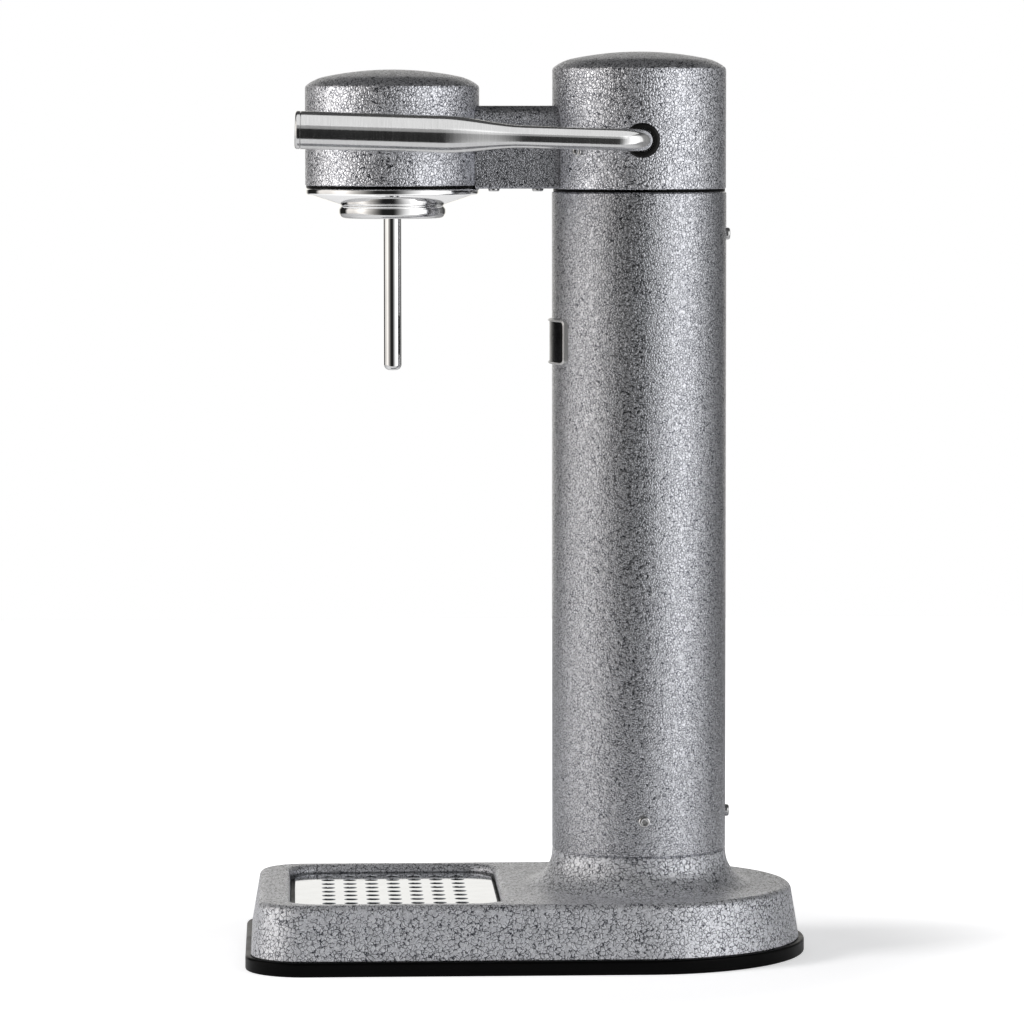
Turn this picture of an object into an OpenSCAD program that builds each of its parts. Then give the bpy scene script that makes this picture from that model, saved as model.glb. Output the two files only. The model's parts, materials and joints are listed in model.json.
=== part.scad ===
// Sparkling water maker with a side lever, in millimetres.
// X runs across the machine with the lever on +X, -Y is the front, Z is up.
// The origin is on the table, under the centre of the base.

/* [Base] */
// Width of the base over its rubber rim
base_w = 153; // [146:1:165]
// Depth of the base from the front edge to the round back
base_d = 258; // [250:1:275]
// Height of the flat top of the base
base_h = 31.2; // [29:0.2:34]
// Corner radius of the base at its front
base_corner_r = 27; // [20:1:34]
// Height of the rubber rim
rim_h = 6.5; // [5:0.1:7.5]
// Width of the rubber rim that shows round the casting
rim_ledge = 2.5; // [1.5:0.1:3.5]
// How far the casting's side leans in between the rim and the top
base_draft = 4; // [2:0.1:5]
// Wall of the base casting
base_wall = 3.5; // [3:0.1:4]
// Rounding of the casting's top edge
base_edge_r = 3; // [1.5:0.1:4]

/* [Tray and grille] */
// Land beside the recess, up to the side of the casting's top
side_land = 9; // [8:0.1:12]
// Land in front of the recess
front_land = 13.9; // [12:0.1:16]
// Land behind the recess, up to the foot of the collar
back_land = 9.6; // [8:0.1:14]
// Floor height of the tray recess
recess_floor_z = 11; // [10:0.5:13]
// Corner radius of the tray recess
recess_corner_r = 14; // [10:0.5:18]
// Rounding of the recess's top edge
recess_edge_r = 3.2; // [2:0.1:3.5]
// How far the grille's face lies below the top of the base
grille_drop = 3.6; // [3.4:0.1:5]
// Thickness of the grille plate
grille_t = 1.6; // [1.2:0.1:2]
// Diameter of a drain hole
hole_d = 5.9; // [4:0.1:7]
// Spacing of the holes from front to back
hole_pitch_y = 10.1; // [9:0.1:11]
// Spacing of the holes from side to side
hole_pitch_x = 12.2; // [10:0.1:12.5]

/* [Column] */
// Diameter of the column
column_d = 80; // [76:1:82]
// Wall of the column tube
column_wall = 2; // [1.6:0.1:2.6]
// Length of the column tube, on its collar
column_h = 302.4; // [290:0.2:310]
// Height of the collar over the flat top of the base
collar_h = 16.6; // [15:0.2:20]
// Radius of the collar's sweep into the base
collar_r = 15.5; // [13:0.5:16]
// Thickness of the black seam gasket on the column
column_gasket_t = 1.3; // [0.8:0.1:2]

/* [Head] */
// Height of the column head over its gasket
head_h = 62.5; // [58:0.5:68]
// Radius of the sphere that crowns both heads
dome_r = 157; // [140:1:200]
// Rounding of the heads' top edge
dome_edge_r = 3.8; // [2:0.1:5]
// Wall of the two heads
head_wall = 3; // [2.5:0.1:3.5]
// Distance of the front head's axis from the column's
head_reach = 113.1; // [112:0.1:116]
// Height of the front head over its gasket
front_head_h = 52.7; // [49:0.1:57]
// Thickness of the front head's gasket
front_gasket_t = 1.2; // [0.8:0.1:2]
// Width of the bridge
bridge_w = 28; // [26:0.5:30]
// Height of the bridge from its underside to its top
bridge_h = 37.7; // [34:0.1:40]
// Rounding of the bridge's long top edges
bridge_edge_r = 4.4; // [2:0.1:6]

/* [Lever] */
// Height of the lever's pivot over the column's gasket
pivot_up = 22.3; // [20:0.1:25]
// How far the pivot lies in front of the column's axis
pivot_forward = 1; // [0:0.1:2]
// Diameter of the lever's rod
lever_d = 10; // [9:0.5:10]
// Diameter of the lever's handle
handle_d = 17.1; // [15:0.1:19]
// Distance of the handle's axis from the machine's middle plane
lever_x = 51.5; // [51:0.5:56]
// Centreline radius of the lever's bend
lever_bend_r = 11.5; // [11:0.5:13]
// Length of the lever from its pivot to its front end
lever_len = 156.7; // [145:0.1:165]
// Length of the thick part of the handle
handle_len = 65.2; // [60:0.1:80]
// Length of the taper between the rod and the handle
taper_len = 38; // [25:1:42]
// Upward tilt of the lever at rest
lever_tilt = 1.8; // [0:0.1:3]
// Full swing of the lever
lever_swing = 50; // [45:1:50]

/* [Nozzle] */
// Diameter of the ring that takes the bottle's neck
ring_d = 49.2; // [47:0.2:52]
// Depth of the ring's lower face below the chrome plate's top
ring_h = 13.8; // [12:0.1:16]
// Diameter of the socket for the bottle's neck
socket_d = 37; // [34:0.5:38]
// Diameter of the nozzle tube
nozzle_d = 8.15; // [7:0.05:9]
// Length of the nozzle below the ring
nozzle_len = 69.6; // [55:0.1:85]

/* [Badge] */
// Depth of the badge's centre below the top of the column tube
badge_drop = 68.5; // [40:0.1:200]
// Height of the badge
badge_h = 20.3; // [16:0.1:24]
// Width of the badge across the column
badge_w = 43; // [36:0.5:48]

/* [Cylinder] */
// Diameter of the carbon dioxide cylinder
cylinder_d = 60; // [59:0.5:61]
// Height of the cylinder's lower end above the table
cylinder_z0 = 7; // [5:0.5:12]

/* [Hidden] */

$fn = 96;
// Steps of an arc in an outline
arc_steps = 6;
// Steps of the lever's swelling from rod to handle
taper_steps = 8;
// Overrun of every cut
cut = 1;
// Clearance between pieces that are put together and don't move
fit = 0.1;
// Radial clearance of a shaft or rod in its bore
run_fit = 0.05;
// Clearance round a piece that lifts out
loose_fit = 0.4;
// Dark seam between two painted pieces
seam = 0.15;

// Places that follow from the driving dimensions
base_r = base_w / 2;
base_y0 = -base_d / 2;
column_y = base_d / 2 - base_r;
column_z0 = base_h + collar_h;
column_z1 = column_z0 + column_h;
column_r = column_d / 2;
tube_r = column_r - column_wall;
head_y = column_y - head_reach;
pivot_y = column_y - pivot_forward;
casting_inset = rim_ledge + base_draft;

// Screws: pan heads on M3 shanks
screw_d = 3;
screw_head_d = 5.5;
screw_head_h = 1.8;
screw_len = 8;
column_screw_len = 5;
hex_d = 2.6;
hex_depth = 0.9;

// Base plate under the casting
plate_gap = 0.7;
plate_t = 2.5;
plate_screw_head_h = 1.4;
plate_z0 = plate_gap + plate_screw_head_h;
plate_z1 = plate_z0 + plate_t;
ring_wall = 9;
rim_edge_r = 1.2;
post_d = 5.4;
front_post_from_side = 36.5;
front_post_inset = 14.95;
side_post_inset = 24.5;
side_post_gap = 15.6;
rear_post_inset = 16.8;
rear_post_angle = 50;
roof_z = base_h - base_wall;
sleeve_r = tube_r - fit;
bay_gap = 4;
bay_r = cylinder_d / 2 + bay_gap;
spigot_h = 28;
column_screw_up = 16.6;
column_screw_z = column_z0 + column_screw_up;
well_wall = 2.5;

// Tray recess and what lies in it
recess_y0 = base_y0 + casting_inset + front_land;
recess_y1 = column_y - column_r - collar_r - back_land;
recess_w = base_w - 2 * (casting_inset + side_land);
grille_gap_x = 3.5;
grille_gap_front = 2;
grille_gap_back = 1.4;
grille_corner_r = 15;
grille_z1 = base_h - grille_drop;
grille_z0 = grille_z1 - grille_t;
grille_y0 = recess_y0 + grille_gap_front;
grille_y1 = recess_y1 - grille_gap_back;
grille_w = recess_w - 2 * grille_gap_x;
grille_hole_y = (recess_y0 + recess_y1) / 2;
hole_margin_y = 13;
hole_margin_x = 6;
hole_columns = floor((grille_y1 - grille_y0 - 2 * hole_margin_y) / hole_pitch_y) + 1;
hole_rows = floor((grille_w - 2 * hole_margin_x) / hole_pitch_x) + 1;
grille_edge_r = 0.5;
tray_wall = 1.8;
tray_floor_t = 2;

// Column seam, heads and their inner faces
column_gasket_z1 = column_z1 + column_gasket_t;
bridge_rise = 0.2;
bridge_z0 = column_gasket_z1 + bridge_rise;
plate_rise = 0.3;
plate_top_z = bridge_z0 + plate_rise;
head_step = 0.2;
head_r = column_r - head_step;
head_in_r = head_r - head_wall;
head_top_z = column_gasket_z1 + head_h;
front_gasket_z1 = plate_top_z + front_gasket_t;
front_top_z = front_gasket_z1 + front_head_h;
gasket_inset = 0.4;
gasket_w = 2.8;

// Bridge between the two heads
bridge_top_z = bridge_z0 + bridge_h;
bridge_wall = 2.5;
cover_t = 1.4;
bridge_mid_y = (column_y + head_y) / 2;
bridge_screw_dy = 10.05;
bridge_boss_d = 6;
bridge_boss_h = 10;
bridge_screw_head_d = 5.2;
bridge_screw_head_h = 1.4;

// Gas line from the valve block to the nozzle carrier
hose_d = 5;
hose_bore = 3;
hose_x = -6.5;
hose_z = front_gasket_z1 + bridge_wall + hose_d / 2;
hose_boss_r = 4;
stub_len = 6;

// Frame inside the column head
pivot_z = column_gasket_z1 + pivot_up;
frame_ring_r = tube_r - fit;
frame_ring_wall = 4.5;
frame_ring_h = 28;
frame_z0 = column_z1 - frame_ring_h;
frame_web_t = 5;
frame_web_drop = 1;
frame_web_z1 = column_z1 - frame_web_drop;
frame_web_z0 = frame_web_z1 - frame_web_t;
cheek_x0 = 23.5;
cheek_t = 4;
cheek_w = 24;
cheek_over = 11;
cheek_z1 = pivot_z + cheek_over;
upper_screw_down = 19.4;
upper_screw_z = column_z1 - upper_screw_down;
head_screw_angle = 42.4;
head_screw_up = 17.4;
head_screw_z = column_gasket_z1 + head_screw_up;
post_r = 4.2;
post_gap = 0.4;
post_place_r = head_in_r - post_r - post_gap;
post_top = 4;

// Valve block, with its socket for the cylinder's valve
block_r = 22;
block_below = 26;
block_z0 = frame_web_z0 - block_below;
block_under_pivot = 13.8;
block_z1 = pivot_z - block_under_pivot;
block_flange_r = 29.5;
block_flange_t = 3;
block_screw_place_r = 26;
block_screw_count = 3;
valve_stem_r = 10.5;
socket_depth = 22;
socket_z1 = block_z0 + socket_depth;
valve_seal_t = 2;
valve_seal_bore_r = 4;
well_r = 9.2;
well_depth = 11;
well_z0 = block_z1 - well_depth;
rod_d = 6;
rod_room = 0.4;

// Cam on the lever's shaft and the push rod under it
cam_r = 10;
cam_throw = 4.2;
cam_w = 8;
cam_gap = 0.5;
push_travel = cam_throw * sin(lever_swing);
push_head_d = 16;
push_head_t = 2.5;
push_head_z1 = pivot_z - cam_r - cam_gap;
push_head_z0 = push_head_z1 - push_head_t;
push_rod_z0 = socket_z1 - valve_seal_t + run_fit;
spring_r = 4.9;
spring_wire_r = 0.6;
spring_turns = 5;
spring_ring_steps = 16;
spring_sides = 6;
spring_end_gap = 0.1;

// Cylinder and its valve
cylinder_r = cylinder_d / 2;
valve_stem_z1 = socket_z1 - valve_seal_t;
valve_nut_gap = 0.3;
valve_nut_z1 = block_z0 - valve_nut_gap;
valve_nut_h = 9;
valve_nut_r = 14;
neck_r = 13;
neck_h = 9;
shoulder_h = 26;
foot_r = 5;
foot_dish = 3;
foot_dish_r = 20;
pin_r = 1.9;
pin_h = 9;
cylinder_top_z = valve_nut_z1 - valve_nut_h;
shoulder_z = cylinder_top_z - neck_h - shoulder_h;

// Lever
lever_r = lever_d / 2;
handle_r = handle_d / 2;
shaft_over = 3.4;
shaft_in_x = cheek_x0 + cheek_t + shaft_over;
groove_depth = 0.8;
clip_t = 1;
clip_r = 8;
clip_gap = 0.35;
clip_x1 = -cheek_x0 - cheek_t - clip_gap;
lever_cap_len = 2.7;
lever_cap_edge_r = 1.2;
cap_stem_r = 5;
cap_stem_len = 7;
cap_dish_r = 5.6;
cap_dish = 0.8;
bush_d = 16;
bush_in_x = 34.5;
bush_out_x = 40.8;
bush_edge_r = 0.8;

// Chrome plate, bottle ring and nozzle
plate_band = 3.1;
plate_edge_r = 0.9;
plate_h = 6.6;
plate_cone_z = plate_top_z - plate_h;
ring_r = ring_d / 2;
cone_foot_angle = 270 + atan((plate_h - plate_band) / (head_r - ring_r));
ring_z0 = plate_top_z - ring_h;
ring_neck_h = 1.4;
ring_z1 = plate_cone_z - ring_neck_h;
ring_neck_in = 1.1;
ring_neck_r = ring_r - ring_neck_in;
ring_sleeve_in = 2.7;
ring_sleeve_r = ring_r - ring_sleeve_in;
ring_top_r = 1.6;
ring_neck_angle = acos(1 - ring_neck_in / ring_top_r);
ring_foot_r = 2.6;
socket_r = socket_d / 2;
socket_roof = 3;
socket_top_z = plate_top_z - socket_roof;
seal_t = 2.6;
carrier_flange_r = 33.8;
carrier_flange_t = 3;
carrier_r = 15;
carrier_h = 20;
carrier_top_z = plate_top_z + carrier_h;
carrier_screw_place_r = 28.5;
carrier_screw_count = 3;
carrier_screw_len = 6;
relief_hex_r = 7;
relief_hex_h = 5;
relief_body_r = 4.5;
relief_body_h = 7;
nozzle_r = nozzle_d / 2;
nozzle_z0 = ring_z0 - nozzle_len;
nozzle_bore_r = 2.5;
nozzle_stop = 6;
nozzle_top_z = carrier_top_z - nozzle_stop;
tip_len = 5;
tip_round_r = 2.6;
tip_spigot_len = 6;
orifice_r = 0.7;

// Badge
badge_z = column_z1 - badge_drop;
badge_t = 1.8;
badge_rim = 1.7;
badge_corner_r = 2.5;
badge_panel_t = 1.1;

// Points of an arc in an outline, from angle a0 to a1
function arc(cx, cy, r, a0, a1, n = arc_steps) =
    [for (i = [0:n]) let (a = a0 + (a1 - a0) * i / n) [cx + r * cos(a), cy + r * sin(a)]];

// Side of the base as offsets from its outline: a leaning side and a rounded top edge
function casting_side(grow, z0, z1, edge) =
    let (
        lean = atan(base_draft / (base_h - rim_h)),
        foot = grow - rim_ledge - (z0 - rim_h) * tan(lean),
        top = grow - rim_ledge - (z1 - rim_h) * tan(lean),
        cx = top - edge * (1 - sin(lean)) / cos(lean)
    )
    concat([[foot, z0]], arc(cx, z1 - edge, edge, lean, 90));

// Slab with rounded plan corners whose side follows pts, a list of [offset, height]
module slab(w, y0, y1, front_r, back_r, pts) {
    half = w / 2;
    // Middle, cut across X
    translate([0, y1 - back_r, 0]) rotate([90, 0, 0]) linear_extrude(y1 - back_r - y0 - front_r)
        polygon(concat(
            [for (p = pts) [half + p[0], p[1]]],
            [for (i = [len(pts) - 1:-1:0]) [-half - pts[i][0], pts[i][1]]]));
    // Front strip, cut across Y
    slab_end(half - front_r, y0 + front_r, front_r, pts, -1);
    if (half > back_r) slab_end(half - back_r, y1 - back_r, back_r, pts, 1);
    // Rounded corners
    for (side = [-1, 1]) {
        slab_corner(side * (half - front_r), y0 + front_r, front_r, pts, side > 0 ? -90 : 180);
        slab_corner(side * (half - back_r), y1 - back_r, back_r, pts, side > 0 ? 0 : 90);
    }
}

// Straight end of a slab between its two corners
module slab_end(half, y, r, pts, way) {
    low = pts[0][1];
    high = pts[len(pts) - 1][1];
    translate([way > 0 ? -half : half, y, 0]) rotate([90, 0, way > 0 ? 90 : -90])
        linear_extrude(2 * half)
            polygon(concat([[0, low]], [for (p = pts) [r + p[0], p[1]]], [[0, high]]));
}

// Quarter of a slab's rounded corner, turned to its place
module slab_corner(x, y, r, pts, turn) {
    low = pts[0][1];
    high = pts[len(pts) - 1][1];
    translate([x, y, 0]) rotate([0, 0, turn]) rotate_extrude(angle = 90)
        polygon(concat([[0, low]], [for (p = pts) [r + p[0], p[1]]], [[0, high]]));
}

// Solid of revolution about a vertical axis at y
module turned(y, pts) {
    translate([0, y, 0]) rotate_extrude() polygon(pts);
}

// Vertical cylinder between two heights
module post(x, y, r, z0, z1) {
    translate([x, y, z0]) cylinder(r = r, h = z1 - z0);
}

// Places of the screws that hold the base plate
function plate_places() = concat(
    [for (s = [-1, 1]) [s * (base_r - front_post_from_side), base_y0 + front_post_inset]],
    [for (s = [-1, 1]) [s * (base_r - side_post_inset), recess_y1 + side_post_gap]],
    [for (s = [-1, 1]) let (r = base_r - rear_post_inset)
        [s * r * cos(rear_post_angle), column_y + r * sin(rear_post_angle)]]);

// Pan-head screw with a hex socket, whose head stands on z = 0 and whose shank runs down
module screw(length, head_d = screw_head_d, head_h = screw_head_h) {
    difference() {
        rotate_extrude() polygon(concat(
            [[0, 0], [head_d / 2, 0]],
            arc(head_d / 2 - head_h / 2, head_h / 2, head_h / 2, 0, 90, 4),
            [[0, head_h]]));
        translate([0, 0, head_h - hex_depth]) cylinder(d = hex_d, h = head_h, $fn = 6);
    }
    translate([0, 0, -length]) cylinder(d = screw_d, h = length);
}

// Shank hole for a screw, drilled downwards from z = 0
module screw_hole(length) {
    translate([0, 0, -length]) cylinder(d = screw_d + 2 * run_fit, h = length + cut);
}

// Places a child on the column's side at an angle from the back, pointing outwards
module on_column(angle, z, r = column_r) {
    translate([0, column_y, z]) rotate([0, 0, angle]) translate([0, r, 0]) rotate([-90, 0, 0])
        children();
}

// Outline of a domed head from its lower edge to the middle of its crown
function dome_side(r, top_z, crown_r, edge, z0) =
    let (
        cz = top_z - crown_r,
        cx = r - edge,
        ez = cz + sqrt(pow(crown_r - edge, 2) - cx * cx),
        lean = atan2(ez - cz, cx)
    )
    concat([[r, z0]], arc(cx, ez, edge, 0, lean), [for (i = [1:2 * arc_steps])
        let (a = lean + (90 - lean) * i / (2 * arc_steps))
        [crown_r * cos(a), cz + crown_r * sin(a)]]);

// Hollow domed head, open below
module domed_shell(y, top_z, z0) {
    difference() {
        turned(y, concat([[0, z0]], dome_side(head_r, top_z, dome_r, dome_edge_r, z0)));
        turned(y, concat([[0, z0 - cut]],
            dome_side(head_in_r, top_z - head_wall, dome_r - head_wall, dome_edge_r, z0 - cut)));
    }
}

// Section of the bridge across X: round top edges, open or closed below
module bridge_section(inset, z0, edge) {
    half = bridge_w / 2 - inset;
    top = bridge_top_z - inset;
    polygon(concat(
        [[-half, z0], [half, z0]],
        arc(half - edge, top - edge, edge, 0, 90),
        arc(-half + edge, top - edge, edge, 90, 180)));
}

// Stretches a section in X and Z along Y, between the two heads
module between_heads() {
    translate([0, column_y, 0]) rotate([90, 0, 0]) linear_extrude(head_reach) children();
}

// Room taken by the two heads, with a seam round them
module head_room(z0, z1) {
    for (y = [column_y, head_y]) post(0, y, head_r + seam, z0, z1);
}

// Annular slab
module ring_solid(y, r_out, r_in, z0, z1) {
    difference() {
        post(0, y, r_out, z0, z1);
        post(0, y, r_in, z0 - cut, z1 + cut);
    }
}

// Black rubber rim that the machine stands on
module base_ring() {
    rim = concat([[0, 0]], arc(-rim_edge_r, rim_h - rim_edge_r, rim_edge_r, 0, 90));
    color("#17181a") difference() {
        slab(base_w, base_y0, -base_y0, base_corner_r, base_r, rim);
        slab(base_w, base_y0, -base_y0, base_corner_r, base_r,
            [[-ring_wall, -cut], [-ring_wall, rim_h + cut]]);
    }
}

// Black cover under the base, with the opening for the cylinder
module base_plate() {
    inset = ring_wall + fit;
    color("#202225") difference() {
        slab(base_w, base_y0, -base_y0, base_corner_r, base_r, [[-inset, plate_z0], [-inset, plate_z1]]);
        post(0, column_y, bay_r, 0, rim_h);
        for (p = plate_places()) post(p[0], p[1], screw_d / 2 + run_fit, 0, rim_h);
    }
}

module plate_screws() {
    color("silver") for (p = plate_places())
        translate([p[0], p[1], plate_z0]) rotate([180, 0, 0])
            screw(screw_len, screw_head_d, plate_screw_head_h);
}

// Threaded posts under the casting's roof for the base plate's screws
module plate_posts() {
    color("silver") for (p = plate_places()) difference() {
        post(p[0], p[1], post_d / 2, plate_z1, roof_z);
        post(p[0], p[1], screw_d / 2 + run_fit, plate_z1 - cut, plate_z1 + screw_len);
    }
}

// Painted casting: shell with the opening over the tray's well and collar for the column
module base_casting() {
    sweep = min(collar_r, collar_h);
    neck = column_r + sweep;
    color("#8f9297") difference() {
        union() {
            difference() {
                slab(base_w, base_y0, -base_y0, base_corner_r, base_r,
                    casting_side(0, rim_h, base_h, base_edge_r));
                slab(base_w, base_y0, -base_y0, base_corner_r, base_r,
                    concat([[-rim_ledge - base_wall, rim_h - cut]],
                        casting_side(-base_wall, rim_h, roof_z, base_edge_r)));
            }
            // Collar
            turned(column_y, concat([[0, roof_z + base_wall / 2], [neck, roof_z + base_wall / 2]],
                arc(neck, base_h + sweep, sweep, 270, 180, 2 * arc_steps),
                [[column_r, column_z0], [0, column_z0]]));
        }
        // Opening of the recess with its rounded top edge
        slab(recess_w, recess_y0, recess_y1, recess_corner_r, recess_corner_r,
            concat([[0, roof_z - cut]],
                arc(recess_edge_r, base_h - recess_edge_r, recess_edge_r, 180, 90),
                [[recess_edge_r, base_h + cut]]));
        post(0, column_y, sleeve_r + fit, 0, column_z0 + cut);
    }
}

// Well that holds the tray, set up against the casting's roof
module tray_well() {
    outer_r = recess_corner_r + well_wall;
    color("#8f9297") difference() {
        slab(recess_w + 2 * well_wall, recess_y0 - well_wall, recess_y1 + well_wall, outer_r, outer_r,
            [[0, recess_floor_z - well_wall], [0, roof_z]]);
        slab(recess_w, recess_y0, recess_y1, recess_corner_r, recess_corner_r,
            [[0, recess_floor_z], [0, roof_z + cut]]);
    }
}

// Sleeve round the cylinder's bay, from the base plate up into the column
module bay_sleeve() {
    color("#2b2d30") difference() {
        ring_solid(column_y, sleeve_r, bay_r, plate_z1, column_z0 + spigot_h);
        for (a = [0, 90, -90]) on_column(a, column_screw_z) screw_hole(column_screw_len + fit);
    }
}

// Black tray in the recess
module drip_tray() {
    inset = -loose_fit;
    color("#1c1d1f") difference() {
        slab(recess_w, recess_y0, recess_y1, recess_corner_r, recess_corner_r,
            [[inset, recess_floor_z], [inset, grille_z0]]);
        slab(recess_w, recess_y0, recess_y1, recess_corner_r, recess_corner_r,
            [[inset - tray_wall, recess_floor_z + tray_floor_t], [inset - tray_wall, grille_z0 + cut]]);
    }
}

// Polished steel grille
module drip_grille() {
    color("#d9dcdf") difference() {
        slab(grille_w, grille_y0, grille_y1, grille_corner_r, grille_corner_r,
            concat([[0, grille_z0]],
                arc(-grille_edge_r, grille_z1 - grille_edge_r, grille_edge_r, 0, 90, 3)));
        for (i = [0:hole_columns - 1], j = [0:hole_rows - 1])
            post((j - (hole_rows - 1) / 2) * hole_pitch_x,
                grille_hole_y + (i - (hole_columns - 1) / 2) * hole_pitch_y,
                hole_d / 2, grille_z0 - cut, grille_z1 + cut);
    }
}

// Tube of the column
module column_tube() {
    color("#8f9297") difference() {
        ring_solid(column_y, column_r, tube_r, column_z0, column_z1);
        for (a = [0, 90, -90]) on_column(a, column_screw_z) screw_hole(column_screw_len + fit);
        on_column(0, upper_screw_z) screw_hole(column_screw_len + fit);
    }
}

module column_screws() {
    color("silver") {
        for (a = [0, 90, -90]) on_column(a, column_screw_z) screw(column_screw_len);
        on_column(0, upper_screw_z) screw(column_screw_len);
    }
}

module column_gasket() {
    color("#17181a") ring_solid(column_y, head_r - gasket_inset, head_r - gasket_w,
        column_z1, column_gasket_z1);
}

// Rounded rectangle on the column's front, as a bar along Y
module badge_bar(grow) {
    w = badge_w / 2 + grow;
    h = badge_h / 2 + grow;
    r = badge_corner_r + grow;
    translate([0, column_y, badge_z]) rotate([90, 0, 0]) linear_extrude(column_d) union() {
        square([2 * w, 2 * (h - r)], center = true);
        square([2 * (w - r), 2 * h], center = true);
        for (x = [-1, 1], y = [-1, 1]) translate([x * (w - r), y * (h - r)]) circle(r = r);
    }
}

// Satin frame of the bare badge
module badge_frame() {
    color("#b9bcc0") difference() {
        intersection() {
            ring_solid(column_y, column_r + badge_t, column_r, badge_z - badge_h, badge_z + badge_h);
            badge_bar(0);
        }
        badge_bar(-badge_rim);
    }
}

module badge_panel() {
    color("#141517") intersection() {
        ring_solid(column_y, column_r + badge_panel_t, column_r, badge_z - badge_h, badge_z + badge_h);
        badge_bar(-badge_rim - run_fit);
    }
}

// Steel cylinder of carbon dioxide
module co2_cylinder() {
    color("#5d6a74") turned(column_y, concat(
        [[0, cylinder_z0 + foot_dish], [foot_dish_r, cylinder_z0]],
        arc(cylinder_r - foot_r, cylinder_z0 + foot_r, foot_r, 270, 360),
        [for (i = [0:2 * arc_steps]) let (a = 90 * i / (2 * arc_steps))
            [neck_r + (cylinder_r - neck_r) * cos(a), shoulder_z + shoulder_h * sin(a)]],
        [[neck_r, cylinder_top_z], [0, cylinder_top_z]]));
}

// Brass valve screwed into the cylinder, with a bore for its pin
module cylinder_valve() {
    color("#b8963e") difference() {
        union() {
            translate([0, column_y, cylinder_top_z]) cylinder(r = valve_nut_r, h = valve_nut_h, $fn = 6);
            post(0, column_y, valve_stem_r, cylinder_top_z, valve_stem_z1);
        }
        post(0, column_y, pin_r + run_fit, valve_stem_z1 - pin_h - push_travel - rod_room,
            valve_stem_z1 + cut);
        // Dish that the push rod comes down into
        post(0, column_y, rod_d / 2 + rod_room, valve_stem_z1 - push_travel - rod_room,
            valve_stem_z1 + cut);
    }
}

module cylinder_seal() {
    color("#17181a") ring_solid(column_y, valve_stem_r - run_fit, valve_seal_bore_r, valve_stem_z1, socket_z1);
}

// Pin that opens the cylinder's valve
module valve_pin() {
    color("silver") post(0, column_y, pin_r, valve_stem_z1 - pin_h, push_rod_z0);
}

// Brass block that joins the cylinder, the push rod and the gas line
module valve_block() {
    color("#b8963e") difference() {
        union() {
            post(0, column_y, block_r, block_z0, block_z1);
            post(0, column_y, block_flange_r, frame_web_z0 - block_flange_t, frame_web_z0);
            translate([hose_x, column_y - well_r - stub_len / 2, hose_z]) rotate([90, 0, 0])
                cylinder(r = hose_boss_r, h = block_r - well_r);
            translate([hose_x, column_y - well_r - stub_len / 2, hose_z]) rotate([90, 0, 0])
                cylinder(r = hose_bore / 2 - run_fit, h = block_r - well_r + stub_len);
        }
        post(0, column_y, valve_stem_r + run_fit, block_z0 - cut, socket_z1);
        post(0, column_y, rod_d / 2 + run_fit, socket_z1 - cut, block_z1 + cut);
        post(0, column_y, well_r, well_z0, block_z1 + hose_boss_r + cut);
        at_block_screws() screw_hole(screw_len);
    }
}

// Places of the screws that hold the valve block up against the frame's web
module at_block_screws() {
    for (i = [0:block_screw_count - 1])
        translate([0, column_y, frame_web_z0 - block_flange_t])
            rotate([0, 0, 90 + 360 * i / block_screw_count])
            translate([block_screw_place_r, 0, 0]) rotate([180, 0, 0]) children();
}

module block_screws() {
    color("silver") at_block_screws() screw(screw_len - cut);
}

// Push rod with its flat head under the cam
module push_rod() {
    color("silver") {
        post(0, column_y, rod_d / 2, push_rod_z0, push_head_z1);
        post(0, column_y, push_head_d / 2, push_head_z0, push_head_z1);
    }
}

// Rings of points along the spring's helix
function spring_points(z0, z1) = [
    for (i = [0:spring_turns * spring_ring_steps])
        let (
            share = i / (spring_turns * spring_ring_steps),
            turn = 360 * i / spring_ring_steps,
            mid_z = z0 + spring_wire_r + (z1 - z0 - 2 * spring_wire_r) * share
        )
        for (j = [0:spring_sides - 1])
            let (a = 360 * j / spring_sides, r = spring_r + spring_wire_r * cos(a))
            [r * cos(turn), r * sin(turn), mid_z + spring_wire_r * sin(a)]
];

// Helical spring that lifts the push rod
module return_spring() {
    rings = spring_turns * spring_ring_steps;
    n = spring_sides;
    color("silver") translate([0, column_y, 0]) polyhedron(
        points = spring_points(well_z0 + spring_end_gap, push_head_z0 - spring_end_gap),
        faces = concat(
            [[for (j = [0:n - 1]) j]],
            [for (i = [0:rings - 1], j = [0:n - 1])
                [i * n + j, (i + 1) * n + j, (i + 1) * n + (j + 1) % n]],
            [for (i = [0:rings - 1], j = [0:n - 1])
                [i * n + j, (i + 1) * n + (j + 1) % n, i * n + (j + 1) % n]],
            [[for (j = [n - 1:-1:0]) rings * n + j]]));
}

// Places of the two posts that hold the column head
module at_head_posts(r) {
    for (s = [-1, 1]) translate([0, column_y, 0]) rotate([0, 0, s * head_screw_angle])
        translate([0, -r, 0]) children();
}

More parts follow.
